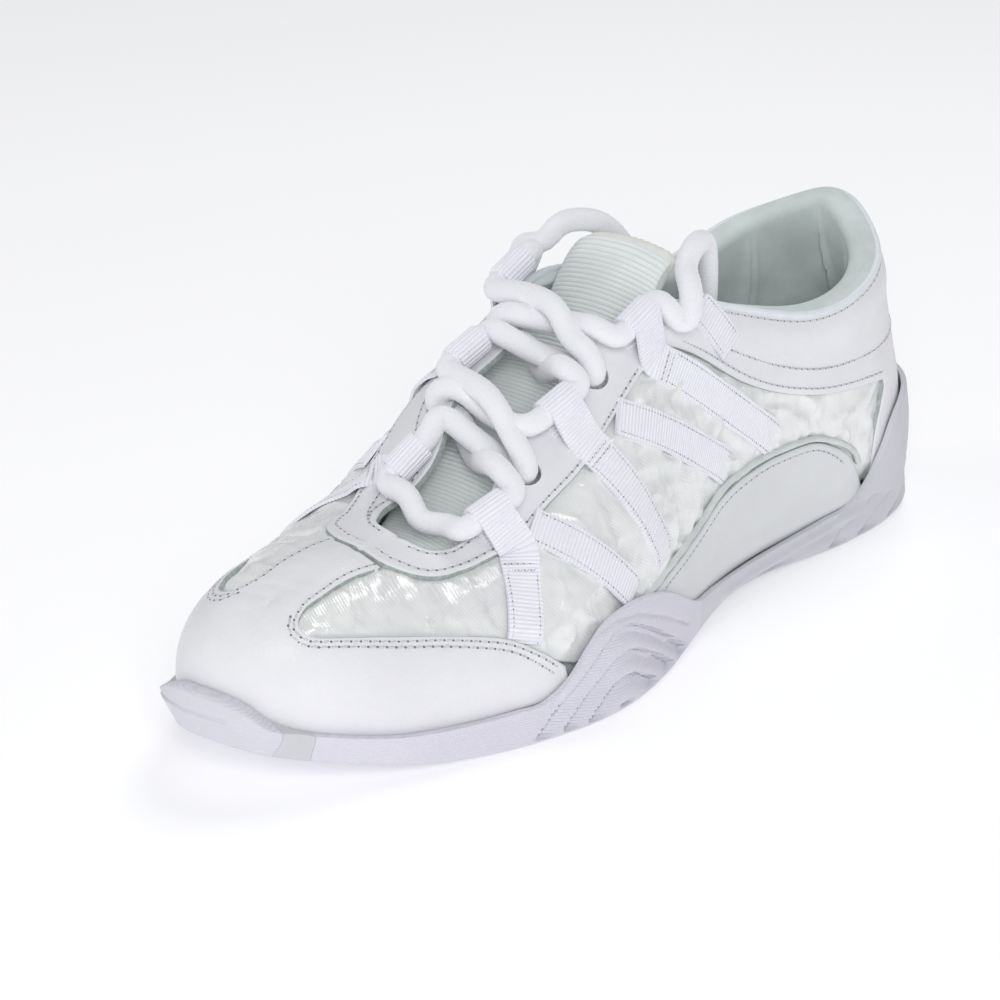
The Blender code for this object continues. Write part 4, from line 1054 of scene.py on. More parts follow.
def stitch_run(points, ups, pitch=2.35, radius=0.26, lift=0.02, slant=0.16, hole=0.34):
    """A row of thread stitches with a dark dot of painted shade for a needle hole between each two."""
    both = even(np.hstack([points, ups]), pitch)
    spots = both[:, :3]
    ups = both[:, 3:] / np.linalg.norm(both[:, 3:], axis=1)[:, None]
    for i in range(len(spots) - 1):
        way = spots[i + 1] - spots[i]
        length = np.linalg.norm(way)
        if length < 1e-6:
            continue
        way = way / length
        up = ups[i] + ups[i + 1]
        up = up - way * up.dot(way)
        up = unit(up)
        middle_point = (spots[i] + spots[i + 1]) / 2 + up * lift
        STITCHES.append((0, capsule(middle_point, way, up, length * 0.66, radius, slant=slant)))
        STITCHES.append((1, hole_shade_dot(spots[i] + up * lift, way, up, hole)))


def stitch_marks(marks, depth, both_sides=True, **how):
    """Stitch row along (q, v) marks on a layer whose top is at depth."""
    for side in ((1, -1) if both_sides else (1,)):
        line = flow(marks, 1.0)
        q = line[:, 0] * side
        v = np.clip(line[:, 1], 0, 0.999)
        stitch_run(skin(q, v, depth), normals(q, v), **how)


def threads():
    verts, faces, zones = [], [], []
    start = 0
    for zone, grid in STITCHES:
        part, tris = skin_grid(grid)
        verts.append(part)
        faces += [tuple(i + start for i in f) for f in tris]
        zones += [zone] * len(tris)
        start += len(part)
    item = solid("stitching", np.vstack(verts), faces, [THREAD_MAT, HOLE_SHADE_MAT], zones, sharp=80)
    return settle(item, SHOE, "leather")


# ---- sole

FLOOR = 2.4
SPLITS = [("outsole_toe_bumper", -140, -117.7, BUMPER_MAT, "rubber"),
          ("outsole_toe_segment", -117.6, -111.0, PLAIN_RUBBER_MAT, "plain_rubber"),
          ("outsole_forefoot", -110.9, 8.84, RUBBER_MAT, "rubber"),
          ("outsole_shank", 8.86, 58.24, HEEL_MAT, "shank"),
          ("outsole_heel", 58.26, 140, HEEL_MAT, "rubber")]
LIP_SHARE = 0.03
BUMPER_LIP = 0.22
WAVE_AT = 104.5
WAVE_TOP = 20.3
WAVE_PITCH = 6.1
WAVE_DEPTH = 2.0
INCISED = [(138, 7.9), (122.3, 16.3), (111.6, 21.0), (103.5, 22.1), (97.7, 20.9), (92.2, 17.4),
           (85.8, 11.5), (82.1, 8.2)]
BUMPER_SLOT = [(-21, 14.6), (-14, 17.0), (-7, 18.6), (0, 19.2), (5, 19.0)]
FLUTES_AT = 231.0
FLUTE_PITCH = 6.2
FLUTE_DEPTH = 1.3
FLUTE_TOP = 10.5
INCISED_DEPTH = 0.55
WAVE_FRONT = (60, 76)
WAVE_BACK = (-150, -141)
FLUTES_FRONT = (206, 216)
FLUTES_BACK = (-268, -256)
SOFT_FRONT = (222, 232)
RIDGE_FRONT = (150, 165)
RIDGE_BACK = (-236, -215)
SOLE_SIDES = 271
WALL_ROWS = 46
ACROSS = 34
INSOLE_ACROSS = 16


def line_gap(u, z, marks):
    """Distance of each (along, height) place to a drawn line."""
    marks = np.array(marks, float)
    points = np.stack([u, z], -1)
    return gap_to(points, marks[:-1], marks[1:])


def sole_relief(q, z):
    """Depth cut into (negative) or standing off the sidewall, by station and height."""
    turn = np.mod(q, TURN)
    own = np.where(turn > HEEL, turn - TURN, turn)
    u = arc(np.abs(own))
    d = u - WAVE_AT
    fall = np.where(d < 0, 0.85 * (np.sqrt(d * d + 36) - 6), 0.68 * (np.sqrt(d * d + 49) - 7))
    level = z + fall
    below = (WAVE_TOP - level) / WAVE_PITCH
    part = np.mod(below, 1.0)
    tooth = np.where(part < 0.07, ease(part, 0.0, 0.07), 1 - ease(part, 0.07, 0.85))
    wave = -WAVE_DEPTH * tooth * ease(below, 0.0, 0.02) * ease(u, *WAVE_FRONT) * ease(-u, *WAVE_BACK)
    incised = -INCISED_DEPTH * np.exp(-(line_gap(u, z, INCISED) / 0.45) ** 2)
    signed = np.where(own < 0, -u, u)
    slot = -INCISED_DEPTH * np.exp(-(line_gap(signed, z, BUMPER_SLOT) / 0.42) ** 4)
    drop = FLUTE_TOP - 0.233 * (u - FLUTES_AT)
    flute = np.mod((FLUTE_TOP - (z - 0.47 * (u - FLUTES_AT))) / FLUTE_PITCH, 1.0)
    tooth = np.where(flute < 0.12, ease(flute, 0, 0.12), 1 - ease(flute, 0.12, 0.95))
    flutes = -FLUTE_DEPTH * tooth * ease(drop - z, 0.0, 0.7) * ease(u, *FLUTES_FRONT) * ease(-u, *FLUTES_BACK)
    soft = 0.35 * np.sin((u - 0.35 * z) / 5.2) * ease(z, 12, 16) * ease(u, *SOFT_FRONT) * ease(-z, -31, -26)
    sweep = z - 6.2 - 0.05 * np.clip(u - 190, 0, 60)
    ridge = (1.3 * np.exp(-(sweep / 1.3) ** 2) - 0.7 * np.exp(-((sweep + 2.6) / 1.0) ** 2))
    ridge = ridge * ease(u, *RIDGE_FRONT) * ease(-u, *RIDGE_BACK)
    return wave + incised + slot + flutes + soft + ridge


def tread(points, clear):
    """How far the underside is cut upward: curved bars at the ball and heel, a bare waist."""
    x, y = points[:, 0], points[:, 1]
    bars = np.mod((y + 0.018 * (x - 4) ** 2 + 2.5 * np.sin(x / 7.0)) / 6.4, 1.0)
    groove = ease(bars, 0.0, 0.09) * ease(-bars, -0.36, -0.27)
    ring = np.hypot(x - 3, (y + 42) * 0.9)
    pivot = ease(-np.abs(ring - 19), -1.6, -0.9)
    near = np.where(ring < 19, ease(np.mod(ring / 4.4, 1.0), 0.0, 0.12)
                    * ease(-np.mod(ring / 4.4, 1.0), -0.5, -0.4), groove)
    zone = np.maximum(ease(-y, -8, -2) * ease(y, -112, -106), ease(y, 60, 66) * ease(-y, -118, -112))
    return 1.1 * np.maximum(near, pivot * (ring < 21)) * zone * ease(clear, 2.0, 3.2)


def sole_columns():
    u = np.linspace(0, arc(HEEL)[0], SOLE_SIDES)
    own = station(u[:-1])
    lateral = TURN - station(u[1:])[::-1]
    lateral[0] = HEEL
    return np.concatenate([own, lateral])


def level_ring(q, inset, height):
    ring = FOOT_AT(arc(q)) - outward(q) * inset
    ring[:, 2] = height
    return ring


def sole_grid():
    """Rings of the cupped rubber sole, from the underside's rim up, over the lip and down inside."""
    q = sole_columns()
    shape = SHAPE_AT(arc(q))
    ground = ground_line(q)
    top = rib_at_height(q, rubber_height(q))
    turn = np.minimum(q, TURN - q)
    fade = np.clip((BUMPER_END[1] - turn) / (BUMPER_END[1] - BUMPER_END[0]), 0, 1)
    bulge = BUMPER_BULGE * fade ** 2 * (3 - 2 * fade)
    rings = []
    low = level_ring(q, 2.0 - shape[:, 4:5], ground)
    edge_ring = level_ring(q, -shape[:, 4:5], ground + 1.0)
    wall = skin(q, 0 * q, RUBBER_OUT + bulge)
    for turn_part in (0.0, 0.3, 0.55, 0.78, 1.0):
        a = turn_part * math.pi / 2
        mixed = low + (edge_ring - low) * math.sin(a)
        mixed[:, 2] = ground + 1.0 * (1 - math.cos(a))
        rings.append(mixed)
    side = outward(q)
    for part in np.linspace(0, 1, 14)[1:-1]:
        line = edge_ring * (1 - part) + wall * part
        rings.append(line + side * sole_relief(q, line[:, 2])[:, None])
    for i in range(WALL_ROWS + 1):
        part = i / WALL_ROWS
        depth = RUBBER_OUT + bulge
        place = skin(q, top * part, depth)
        cut_in = sole_relief(q, place[:, 2]) * ease(1 - part, 0.0, 0.06)
        rolled = LIP_SHARE + (BUMPER_LIP - LIP_SHARE) * fade
        turned = np.clip((part - 1 + rolled) / rolled, 0, 1)
        lip = -(0.6 + 0.75 * bulge) * (1 - np.sqrt(1 - turned ** 2))
        rings.append(skin(q, top * part, depth + cut_in + lip))
    rings.append(skin(q, top * 1.008, RUBBER_OUT - 0.9 + 0.1 * bulge))
    for part in (1.0, 0.6, 0.0):
        rings.append(skin(q, top * part, RUBBER_IN))
    rings.append(level_ring(q, 1.5, ground + FLOOR))
    return np.array(rings)


def filled(base, count, total, across, forward):
    """Faces across a ring that starts at vertex base, with its inner points from total on."""
    half = count // 2
    index = np.zeros((half + 1, across + 1), int)
    index[1:half, 1:across] = total + np.arange((half - 1) * (across - 1)).reshape(half - 1, -1)
    index[1:half, 0] = base + np.arange(1, half)
    index[1:half, across] = base + np.arange(count - 1, half, -1)
    index[0, :] = base
    index[half, :] = base + half
    faces = []
    for i in range(half):
        for k in range(across):
            face = (index[i, k], index[i + 1, k], index[i + 1, k + 1], index[i, k + 1])
            face = tuple(dict.fromkeys(int(n) for n in face))
            faces.append(face if forward else face[::-1])
    return faces


def sole_mesh():
    """Closed sole: the rings, with the underside and the floor inside filled straight across."""
    rings = sole_grid()
    rows, count = rings.shape[:2]
    verts = [rings.reshape(-1, 3)]
    _, faces = skin_grid(rings, caps=False)
    total = rows * count
    half = count // 2
    across = ACROSS
    for base, ring, cuts in ((0, rings[0], True), ((rows - 1) * count, rings[-1], False)):
        t = np.linspace(0, 1, across + 1)[1:-1]
        near = ring[1:half]
        far = ring[count - 1:half:-1]
        inner = near[:, None, :] * (1 - t)[:, None] + far[:, None, :] * t[:, None]
        if cuts:
            clear = np.minimum(t, 1 - t)[None, :] * np.linalg.norm(near - far, axis=1)[:, None]
            flat = inner.reshape(-1, 3)
            flat[:, 2] += tread(flat, clear.ravel())
            inner = flat.reshape(inner.shape)
        verts.append(inner.reshape(-1, 3))
        faces += filled(base, count, total, across, cuts)
        total += inner.shape[0] * inner.shape[1]
    return np.vstack(verts), faces


def build_sole():
    verts, faces = sole_mesh()
    whole = bmesh.new()
    points = [whole.verts.new(tuple(p * MM)) for p in verts]
    for face in faces:
        if len(set(face)) > 2:
            whole.faces.new([points[i] for i in face])
    for name, near_y, far_y, mat, slot_name in SPLITS:
        part = whole.copy()
        for y, way in ((near_y, -1), (far_y, 1)):
            everything = part.verts[:] + part.edges[:] + part.faces[:]
            bmesh.ops.bisect_plane(part, geom=everything, dist=1e-7, plane_co=(0, y * MM, 0),
                                   plane_no=(0, way, 0), clear_outer=True)
            rim = [e for e in part.edges if e.is_boundary]
            bmesh.ops.holes_fill(part, edges=rim, sides=0)
        bmesh.ops.triangulate(part, faces=[f for f in part.faces if len(f.verts) > 4])
        bmesh.ops.recalc_face_normals(part, faces=part.faces)
        for face in part.faces:
            face.smooth = True
        mesh = bpy.data.meshes.new(name)
        part.to_mesh(mesh)
        part.free()
        mesh.materials.append(mat)
        mesh.set_sharp_from_angle(angle=math.radians(50))
        settle(placed(name.replace("outsole", "sole"), mesh), SHOE, slot_name, name)
    whole.free()


def layered(name, inset, low, high, rise, mat):
    """Flat insole layer with a crowned, softly cupped top."""
    q = sole_columns()[::2]
    count = len(q)
    half = count // 2
    foot = FOOT_AT(arc(q))[:, 2]
    rings = [level_ring(q, inset, foot + low), level_ring(q, inset, foot + high - 0.9),
             level_ring(q, inset + 0.3, foot + high - 0.3), level_ring(q, inset + 0.9, foot + high)]
    across = INSOLE_ACROSS
    verts = [np.vstack(rings)]
    _, faces = skin_grid(np.array(rings), caps=False)
    total = 4 * count
    for base, ring, lifted in ((0, rings[0], False), (3 * count, rings[3], True)):
        t = np.linspace(0, 1, across + 1)[1:-1]
        near = ring[1:half]
        far = ring[count - 1:half:-1]
        inner = near[:, None, :] * (1 - t)[:, None] + far[:, None, :] * t[:, None]
        if lifted:
            width = np.linalg.norm(near - far, axis=1)[:, None]
            inner[:, :, 2] -= rise * np.sin(math.pi * t)[None, :] * np.clip(width / 60, 0, 1)
            inner[:, :, 2] += 0.25 * fuzz(inner.reshape(-1, 3), 14, 5).reshape(inner.shape[:2])
        verts.append(inner.reshape(-1, 3))
        faces += filled(base, count, total, across, not lifted)
        total += inner.shape[0] * inner.shape[1]
    return solid(name, np.vstack(verts), faces, [mat])


# ---- upper

def leather_relief(q, v, spot, far):
    """Creases across the vamp, a soft unevenness and a pull at the seams."""
    soft = 0.16 * fuzz(spot, 11, 1) + 0.07 * fuzz(spot, 4, 2)
    crease = spot * np.array([0.35, 1.0, 0.5]) + 1.2 * fuzz(spot, 9, 3)[:, None]
    lines = 1 - np.abs(fuzz(crease, 2.6, 4))
    vamp = ease(v, 0.55, 0.9) * ease(-np.abs(q), -3.4, -1.2)
    seam = -0.18 * np.exp(-((far - SEAM_IN) / 0.5) ** 2)
    return (soft - 0.26 * lines ** 6 * vamp) * ease(far, CREASE_FREE, 3.0) + seam


def stay_relief(q, v, spot, far):
    soft = 0.18 * fuzz(spot, 9, 6)
    seam = -0.15 * np.exp(-((far - SEAM_IN) / 0.5) ** 2)
    return soft * ease(far, CREASE_FREE, 3.0) + seam


def collar_relief(q, v, spot, far):
    soft = 0.3 * fuzz(spot, 16, 7) + 0.1 * fuzz(spot, 5, 8)
    low = np.interp(from_toe(q),
                    [6.7, 7.08, 7.62, 8.12, 8.96, 11], [0.9, 0.85, 0.75, 0.71, 0.62, 0.6])
    seam = -0.35 * np.exp(-((v - low) / 0.012) ** 2)
    puff = 0.9 * np.exp(-((v - 0.88) / 0.08) ** 2)
    return (soft + puff) * ease(far, CREASE_FREE, 3.5) + seam


def arch_relief(q, v, spot, far):
    turn = from_toe(q)
    ridge = 0.9 * np.exp(-((spot[:, 2] - 12.2) / 1.6) ** 2) * ease(turn, 6.0, 6.6)
    return ridge + 0.12 * fuzz(spot, 14, 9) * ease(far, CREASE_FREE, 3.0)


def satin_relief(q, v, spot, far):
    """Cloth puffed between its seams, with long soft wrinkles and finer crossing ones."""
    turn = from_toe(q)
    toe = ease(-turn, -4.9, -4.1)
    skew = spot @ np.array([[0.9, 0.30, -0.1], [-0.25, 0.5, 0.45], [0.2, -0.65, 0.75]])
    bent = skew + 2.2 * fuzz(spot, 12, 10)[:, None]
    long_folds = (1 - np.abs(fuzz(bent * np.array([0.32, 1.0, 1.0]), 4.2, 11))) ** 2.2
    toe_skew = spot @ np.array([[0.7, 0.4, 0.0], [-0.5, 0.8, 0.0], [0.0, 0.3, 1.0]])
    toe_bent = toe_skew + 1.5 * fuzz(spot, 9, 12)[:, None]
    toe_folds = (1 - np.abs(fuzz(toe_bent * np.array([0.35, 1.0, 1.0]), 4.6, 13))) ** 2.0
    folds = long_folds * (1 - toe) + toe_folds * toe
    fine = fuzz(bent * np.array([0.6, 1, 1]), 2.2, 14)
    puff = 0.8 * ease(far, 1.5, 9)
    return (1.25 * folds + 0.3 * fine) * ease(far, 1.0, 4.0) + puff * 0.6


def lining_relief(q, v, spot, far):
    return 0.25 * fuzz(spot, 10, 15) * ease(far, CREASE_FREE, 3.0)


def punched(item):
    """Lace holes through the eyestay."""
    for side in (1, -1):
        for q in HOLES:
            own = edge(q, side)[0]
            v = edge_rib(q, side) - HOLE_OUT / rib_scale(own)
            place = last([own], [v])[0]
            bm = bmesh.new()
            bmesh.ops.create_cone(bm, cap_ends=True, segments=24, radius1=(HOLE_R - 0.5) * MM,
                                  radius2=(HOLE_R - 0.5) * MM, depth=8 * MM)
            mesh = bpy.data.meshes.new("hole")
            bm.to_mesh(mesh)
            bm.free()
            mesh.materials.append(LEATHER_MAT)
            cutter = placed("hole", mesh)
            cutter.location = Vector(place) * MM
            cutter.rotation_mode = "QUATERNION"
            cutter.rotation_quaternion = Vector(normals([own], [v])[0]).to_track_quat("Z", "Y")
            change = item.modifiers.new("hole", "BOOLEAN")
            change.operation = "DIFFERENCE"
            change.solver = "EXACT"
            change.object = cutter
            bpy.context.view_layer.update()
            shape = item.evaluated_get(bpy.context.evaluated_depsgraph_get())
            done = bpy.data.meshes.new_from_object(shape)
            item.modifiers.clear()
            item.data = done
            bpy.data.objects.remove(cutter)
    return item


HIDDEN_LAYERS = (("heel_counter", BOARD_MAT), ("toe_puff", BOARD_MAT), ("insole_board", BOARD_MAT),
                 ("midsole", FOAM_MAT))


def build_panels():
    both = (LEATHER_MAT, EDGE_MAT)
    toe = sewn("toe_leather_piece", [TOE_LEATHER], LEATHER, both, 1.7, leather_relief)
    settle(toe, SHOE, "leather", "toe_leather")
    stay = sewn("eyestay_piece", EYESTAY, (LEATHER[0], LEATHER[1] + STAY_RAISED), both,
                1.5, stay_relief)
    settle(punched(stay), SHOE, "leather", "eyestay")
    collar = sewn("collar_leather_piece", [COLLAR], LEATHER, both, 2.0, collar_relief)
    settle(collar, SHOE, "leather", "collar_leather")
    for side, suffix in SIDES:
        def turned(runs):
            return runs if side > 0 else mirrored(runs)
        item = sewn("satin" + suffix, [turned(SATIN_PANEL)], SATIN, (SATIN_MAT,), 1.15, satin_relief,
                    skirt=0.3, roll=0.6)
        settle(item, SHOE, "satin", "satin_panel" + suffix)
        item = sewn("arch" + suffix, [turned(ARCH)], LEATHER, (ARCH_MAT, EDGE_MAT), 2.0, arch_relief)
        settle(item, SHOE, "leather", "arch_panel" + suffix)
        line = flow(PIPING, 1.0)
        line = np.vstack([line, PIPING[-1:]])
        path = skin(line[:, 0] * side, line[:, 1] - 0.022, 0.0)
        item = cord_mesh("arch_piping_cord" + suffix, path, 0.85, [PIPING_MAT], 12,
                         lambda s, a: 0.05 * np.sin(s * 4.0 + a * 2))
        settle(item, SHOE, "piping", "arch_piping" + suffix)
        for name, runs in (("quarter_lining", QUARTER_LINING), ("ankle_lining", ANKLE_LINING)):
            item = sewn(name + "_cloth" + suffix, [turned(runs)], LINING, (LINING_MAT,), 3.0,
                        lining_relief, skirt=0.0)
            settle(item, SHOE, "lining", name + suffix)
    item = sewn("vamp_lining_cloth", [VAMP_LINING], LINING, (LINING_MAT,), 3.0, lining_relief, skirt=0.0)
    settle(item, SHOE, "lining", "vamp_lining")
    for name, mat in HIDDEN_LAYERS:
        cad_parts[name].data.materials.clear()
        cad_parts[name].data.materials.append(mat)


# Stitch rows as (q, v) marks: round the toe windows, along the eyestay, collar and arch.
WINDOW_ROWS = [
    [(3.2, 0.885), (2.78, 0.878), (2.4, 0.858), (1.9, 0.82), (1.63, 0.735), (1.6, 0.66), (1.85, 0.575),
     (2.4, 0.525), (3.0, 0.472), (3.5, 0.415), (4.0, 0.31), (4.3, 0.2), (4.5, 0.11)],
    [(1.53, 0.76), (1.48, 0.66), (1.78, 0.548), (2.4, 0.495), (3.0, 0.442), (3.5, 0.382),
     (4.0, 0.275), (4.28, 0.165), (4.45, 0.09)]]
STAY_ROWS = [
    [(3.42, 0.9), (3.66, 0.785), (4.02, 0.738), (4.4, 0.738), (4.8, 0.74), (5.2, 0.785), (5.6, 0.8),
     (6.0, 0.833), (6.5, 0.856)],
    [(3.72, 0.93), (3.85, 0.86), (4.1, 0.81), (4.5, 0.838), (4.8, 0.9)]]
LATERAL_ROW = [(-3.72, 0.93), (-3.85, 0.86), (-4.1, 0.825), (-4.4, 0.9), (-4.6, 0.98), (-5.0, 1.14),
               (-5.4, 1.22), (-6.0, 1.23), (-6.3, 1.18), (-6.55, 1.1)]
COLLAR_ROWS = [
    [(6.8, 0.955), (7.5, 0.952), (8.5, 0.952), (9.5, 0.952), (11, 0.952)],
    [(7.02, 0.87), (7.3, 0.80), (7.62, 0.755), (8.12, 0.71), (8.6, 0.67), (8.96, 0.64), (9.6, 0.62),
     (11, 0.6)],
    [(6.86, 0.875), (7.06, 0.80), (7.48, 0.685), (8.05, 0.628), (8.55, 0.578), (9.12, 0.51)]]
ARCH_ROW = [(5.66, 0.135), (5.98, 0.155), (6.4, 0.16), (6.8, 0.185), (7.28, 0.262), (7.68, 0.33),
            (8.04, 0.355), (8.3, 0.305), (8.52, 0.22)]


def build_stitches():
    for row in WINDOW_ROWS:
        stitch_marks(row, LEATHER_TOP - 0.05, pitch=2.3)
    for row in STAY_ROWS:
        stitch_marks(row, LEATHER_TOP + 0.1, pitch=2.2)
    stitch_marks(LATERAL_ROW, LEATHER_TOP + 0.1, both_sides=False, pitch=2.2)
    ridge = [(3.42, 0.9), (3.36, 0.97), (3.34, 1.0)]
    stitch_marks(ridge, LEATHER_TOP + 0.1, pitch=2.2)
    for row in COLLAR_ROWS:
        stitch_marks(row, LEATHER_TOP + 0.1, pitch=2.3, radius=0.22, hole=0.26)
    stitch_marks(ARCH_ROW, LEATHER_TOP, pitch=2.3, radius=0.22, hole=0.3)


# ---- lining and padded collar

def collar_profile(q):
    """(depth, v) pairs from the leather's top edge over the padded rim and down inside."""
    turn = from_toe(q)
    size = 0.9 + (ROLL_R - 0.9) * ease(turn, 6.7, 7.7)
    rib = np.linalg.norm(last([q], [1.0])[0] - last([q], [0.9])[0]) * 10
    pairs = []
    centre = -0.7 - size
    middle_v = 0.982 - (size * 0.35) / rib
    for degree in range(20, 200, 12):
        a = math.radians(degree)
        pairs.append((centre + size * math.cos(a), middle_v + size * math.sin(a) * 0.95 / rib))
    inner = centre - size
    for part in np.linspace(0, 1, 30)[1:]:
        v = middle_v * (1 - part) + 0.12 * part
        pairs.append((inner + (-5.2 - inner) * ease(part, 0.0, 0.55), v))
    return pairs


def build_collar():
    """Lining from the insole up over the padded rim, with upright folds inside the heel."""
    stations = np.concatenate([np.linspace(6.25, 11, 120), np.linspace(11, 15.75, 121)[1:]])
    rows = []
    for q in stations:
        pairs = np.array(collar_profile(q))
        place = skin(np.full(len(pairs), q), np.clip(pairs[:, 1], 0, 1.06), pairs[:, 0])
        rows.append(place)
    grid = np.array(rows)
    down = np.linspace(0, 1, grid.shape[1])[None, :]
    around = arc(stations)[:, None]
    turn = np.minimum(stations, TURN - stations)[:, None]
    sway = around + 2.5 * np.sin(down * 5 + around / 17)
    fold = (1 - np.abs(np.sin(sway / 11.0))) ** 8 + 0.8 * (1 - np.abs(np.sin(sway / 17.3 + 1.1))) ** 10
    fold = fold * ease(down, 0.3, 0.5) * ease(turn, 7.0, 7.8)
    shift = -2.3 * fold + 0.3 * fuzz(grid.reshape(-1, 3), 8, 21).reshape(grid.shape[:2])
    out = normals(stations, np.full(len(stations), 0.6))
    grid = grid - out[:, None, :] * shift[:, :, None] * -1.0 * ease(down, 0.2, 0.4)[:, :, None]
    back = grid + out[:, None, :] * 1.2
    ring = np.concatenate([grid, back[:, ::-1]], axis=1)
    verts, faces = skin_grid(ring)
    item = solid("collar_lining", verts, faces, [COLLAR_MAT], sharp=60)
    settle(item, SHOE, "lining", "collar_roll", "heel_lining")
    q = np.linspace(6.73, 15.27, 420)
    piping = skin(q, np.full(len(q), 0.984), 0.0)
    rim = cord_mesh("collar_rim", piping, 0.95, [RIM_MAT], 12,
                    lambda s, a: 0.06 * np.sin(s * 5.5))
    settle(rim, SHOE, "piping")
    sock = layered("sockliner_cloth", 6.6, 1.5, 5.0, 1.2, SOCK_MAT)
    settle(sock, SHOE, "sockliner", "sockliner")


# ---- ribbons

def ribbon_body(name, centre, ups, width, thick, stitched=None, tack=None):
    """Grosgrain ribbon along a run: cross ribs on both faces and thicker woven edges."""
    both = even(np.hstack([centre, ups]), 0.21)
    points = both[:, :3]
    ups = both[:, 3:] / np.linalg.norm(both[:, 3:], axis=1)[:, None]
    way = np.gradient(points, axis=0)
    way = unit(way)
    side = np.cross(way, ups)
    side = unit(side)
    for i in range(1, len(side)):
        if side[i].dot(side[i - 1]) < 0:
            side[i:] = -side[i:]
            break
    up = np.cross(side, way)
    gap = travelled(points)
    rib = 0.2 * np.abs(np.sin(math.pi * gap / RIB_PITCH)) ** 0.8
    half = width / 2
    columns = np.array([-1, -0.93, -0.86, -0.45, 0, 0.45, 0.86, 0.93, 1])
    weave = np.where(np.abs(columns) > 0.9, 0.6, 1.0)
    wobble = 0.12 * np.sin(gap / 3.1)[:, None] * np.sign(columns)[None, :]
    upper = np.stack([columns * half + wobble, thick / 2 + rib[:, None] * weave], -1)
    lower = np.stack([columns[::-1] * half + wobble[:, ::-1], -thick / 2 - rib[:, None] * weave], -1)
    grid = swept(points, side, up, np.concatenate([upper, lower], axis=1))
    verts, faces = skin_grid(grid)
    uv = np.stack(np.broadcast_arrays(gap[:, None] / 10, grid[0, :, 0] * 0), -1).reshape(-1, 2)
    item = solid(name, verts, faces, [RIBBON_MAT], sharp=70, uv=uv)
    if stitched is not None:
        low, high = stitched
        pick = (gap >= low) & (gap <= min(high, gap[-1] - 0.8))
        for k in (-1, 1):
            rows = points[pick] + side[pick] * k * (half - 0.95) + up[pick] * (thick / 2 + 0.1)
            stitch_run(rows, up[pick], pitch=2.0, radius=0.17, slant=0.0, hole=0.24)
    if tack is not None:
        i = int(np.argmin(np.abs(gap - tack)))
        for shift in (-0.8, 0.8):
            across = np.linspace(-half + 0.8, half - 0.8, 20)[:, None]
            rows = points[i] + side[i] * across + way[i] * shift + up[i] * (thick / 2 + 0.14)
            stitch_run(rows, np.repeat(up[i:i + 1], 20, 0), pitch=1.5, radius=0.17, slant=0.6, hole=0.22)
    return item


def satin_lay(q, v):
    """Depth at which a ribbon lies: low over the satin, higher over the eyestay or collar."""
    turn = from_toe(q)
    edge_v = np.interp(turn, [3.2, 3.6, 4.0, 4.8, 5.2, 6.0, 6.6, 6.75, 7.0, 7.4, 8.0],
                       [0.88, 0.76, 0.71, 0.71, 0.76, 0.81, 0.835, 0.86, 0.78, 0.66, 0.60])
    return 0.05 + 0.85 * ease(v, edge_v - 0.035, edge_v + 0.02)


def laid(side, start, end, count=60):
    """Points and normals of a ribbon lying straight on the shoe, its low end under the seam."""
    t = np.linspace(0, 1, count)
    q = (start[0] * (1 - t) + end[0] * t) * side
    v = start[1] * (1 - t) + end[1] * t
    ends = last(q[[0, -1]], v[[0, -1]])
    flat = np.cross(ends[1] - ends[0], normals(q, v).mean(0))
    flat = unit(flat)
    for _ in range(6):
        off = (last(q, v) - ends[0]) @ flat
        rate = ((last(q + 0.02, v) - last(q - 0.02, v)) @ flat) / 0.04
        q = q - np.clip(off / rate, -0.1, 0.1) * STRAIGHT
    depth = satin_lay(q, v) + 0.35
    depth = depth - 1.5 * ease(-t, -0.09, 0.0)
    return skin(q, v, depth), normals(q, v)


STRAIGHT = 0.8
BANDS = [("ribbon_front", (4.2, 0.275), LOOPS[0]), ("ribbon_middle", (6.02, 0.212), LOOPS[1]),
         ("ribbon_rear", (7.72, 0.41), LOOPS[2])]
CROSS_BANDS = [("ribbon_support_front", (5.0, 0.74), (5.5, 0.205)),
               ("ribbon_support_rear", (6.06, 0.81), (7.22, 0.33)),
               ("ribbon_tab", (7.36, 0.80), (7.22, 0.965))]


def loop_round(side, top_q):
    """Points of the sleeve round the lace, from its outer side over the top to underneath."""
    centre, into, up, _ = loop_frame(top_q, side)
    radius = LACE_D / 2 + 0.6
    turns = np.radians([150, 130, 110, 90, 70, 45, 20, -5, -30, -55, -80, -100])[:, None]
    return centre, centre + (into * np.cos(turns) + up * np.sin(turns)) * radius


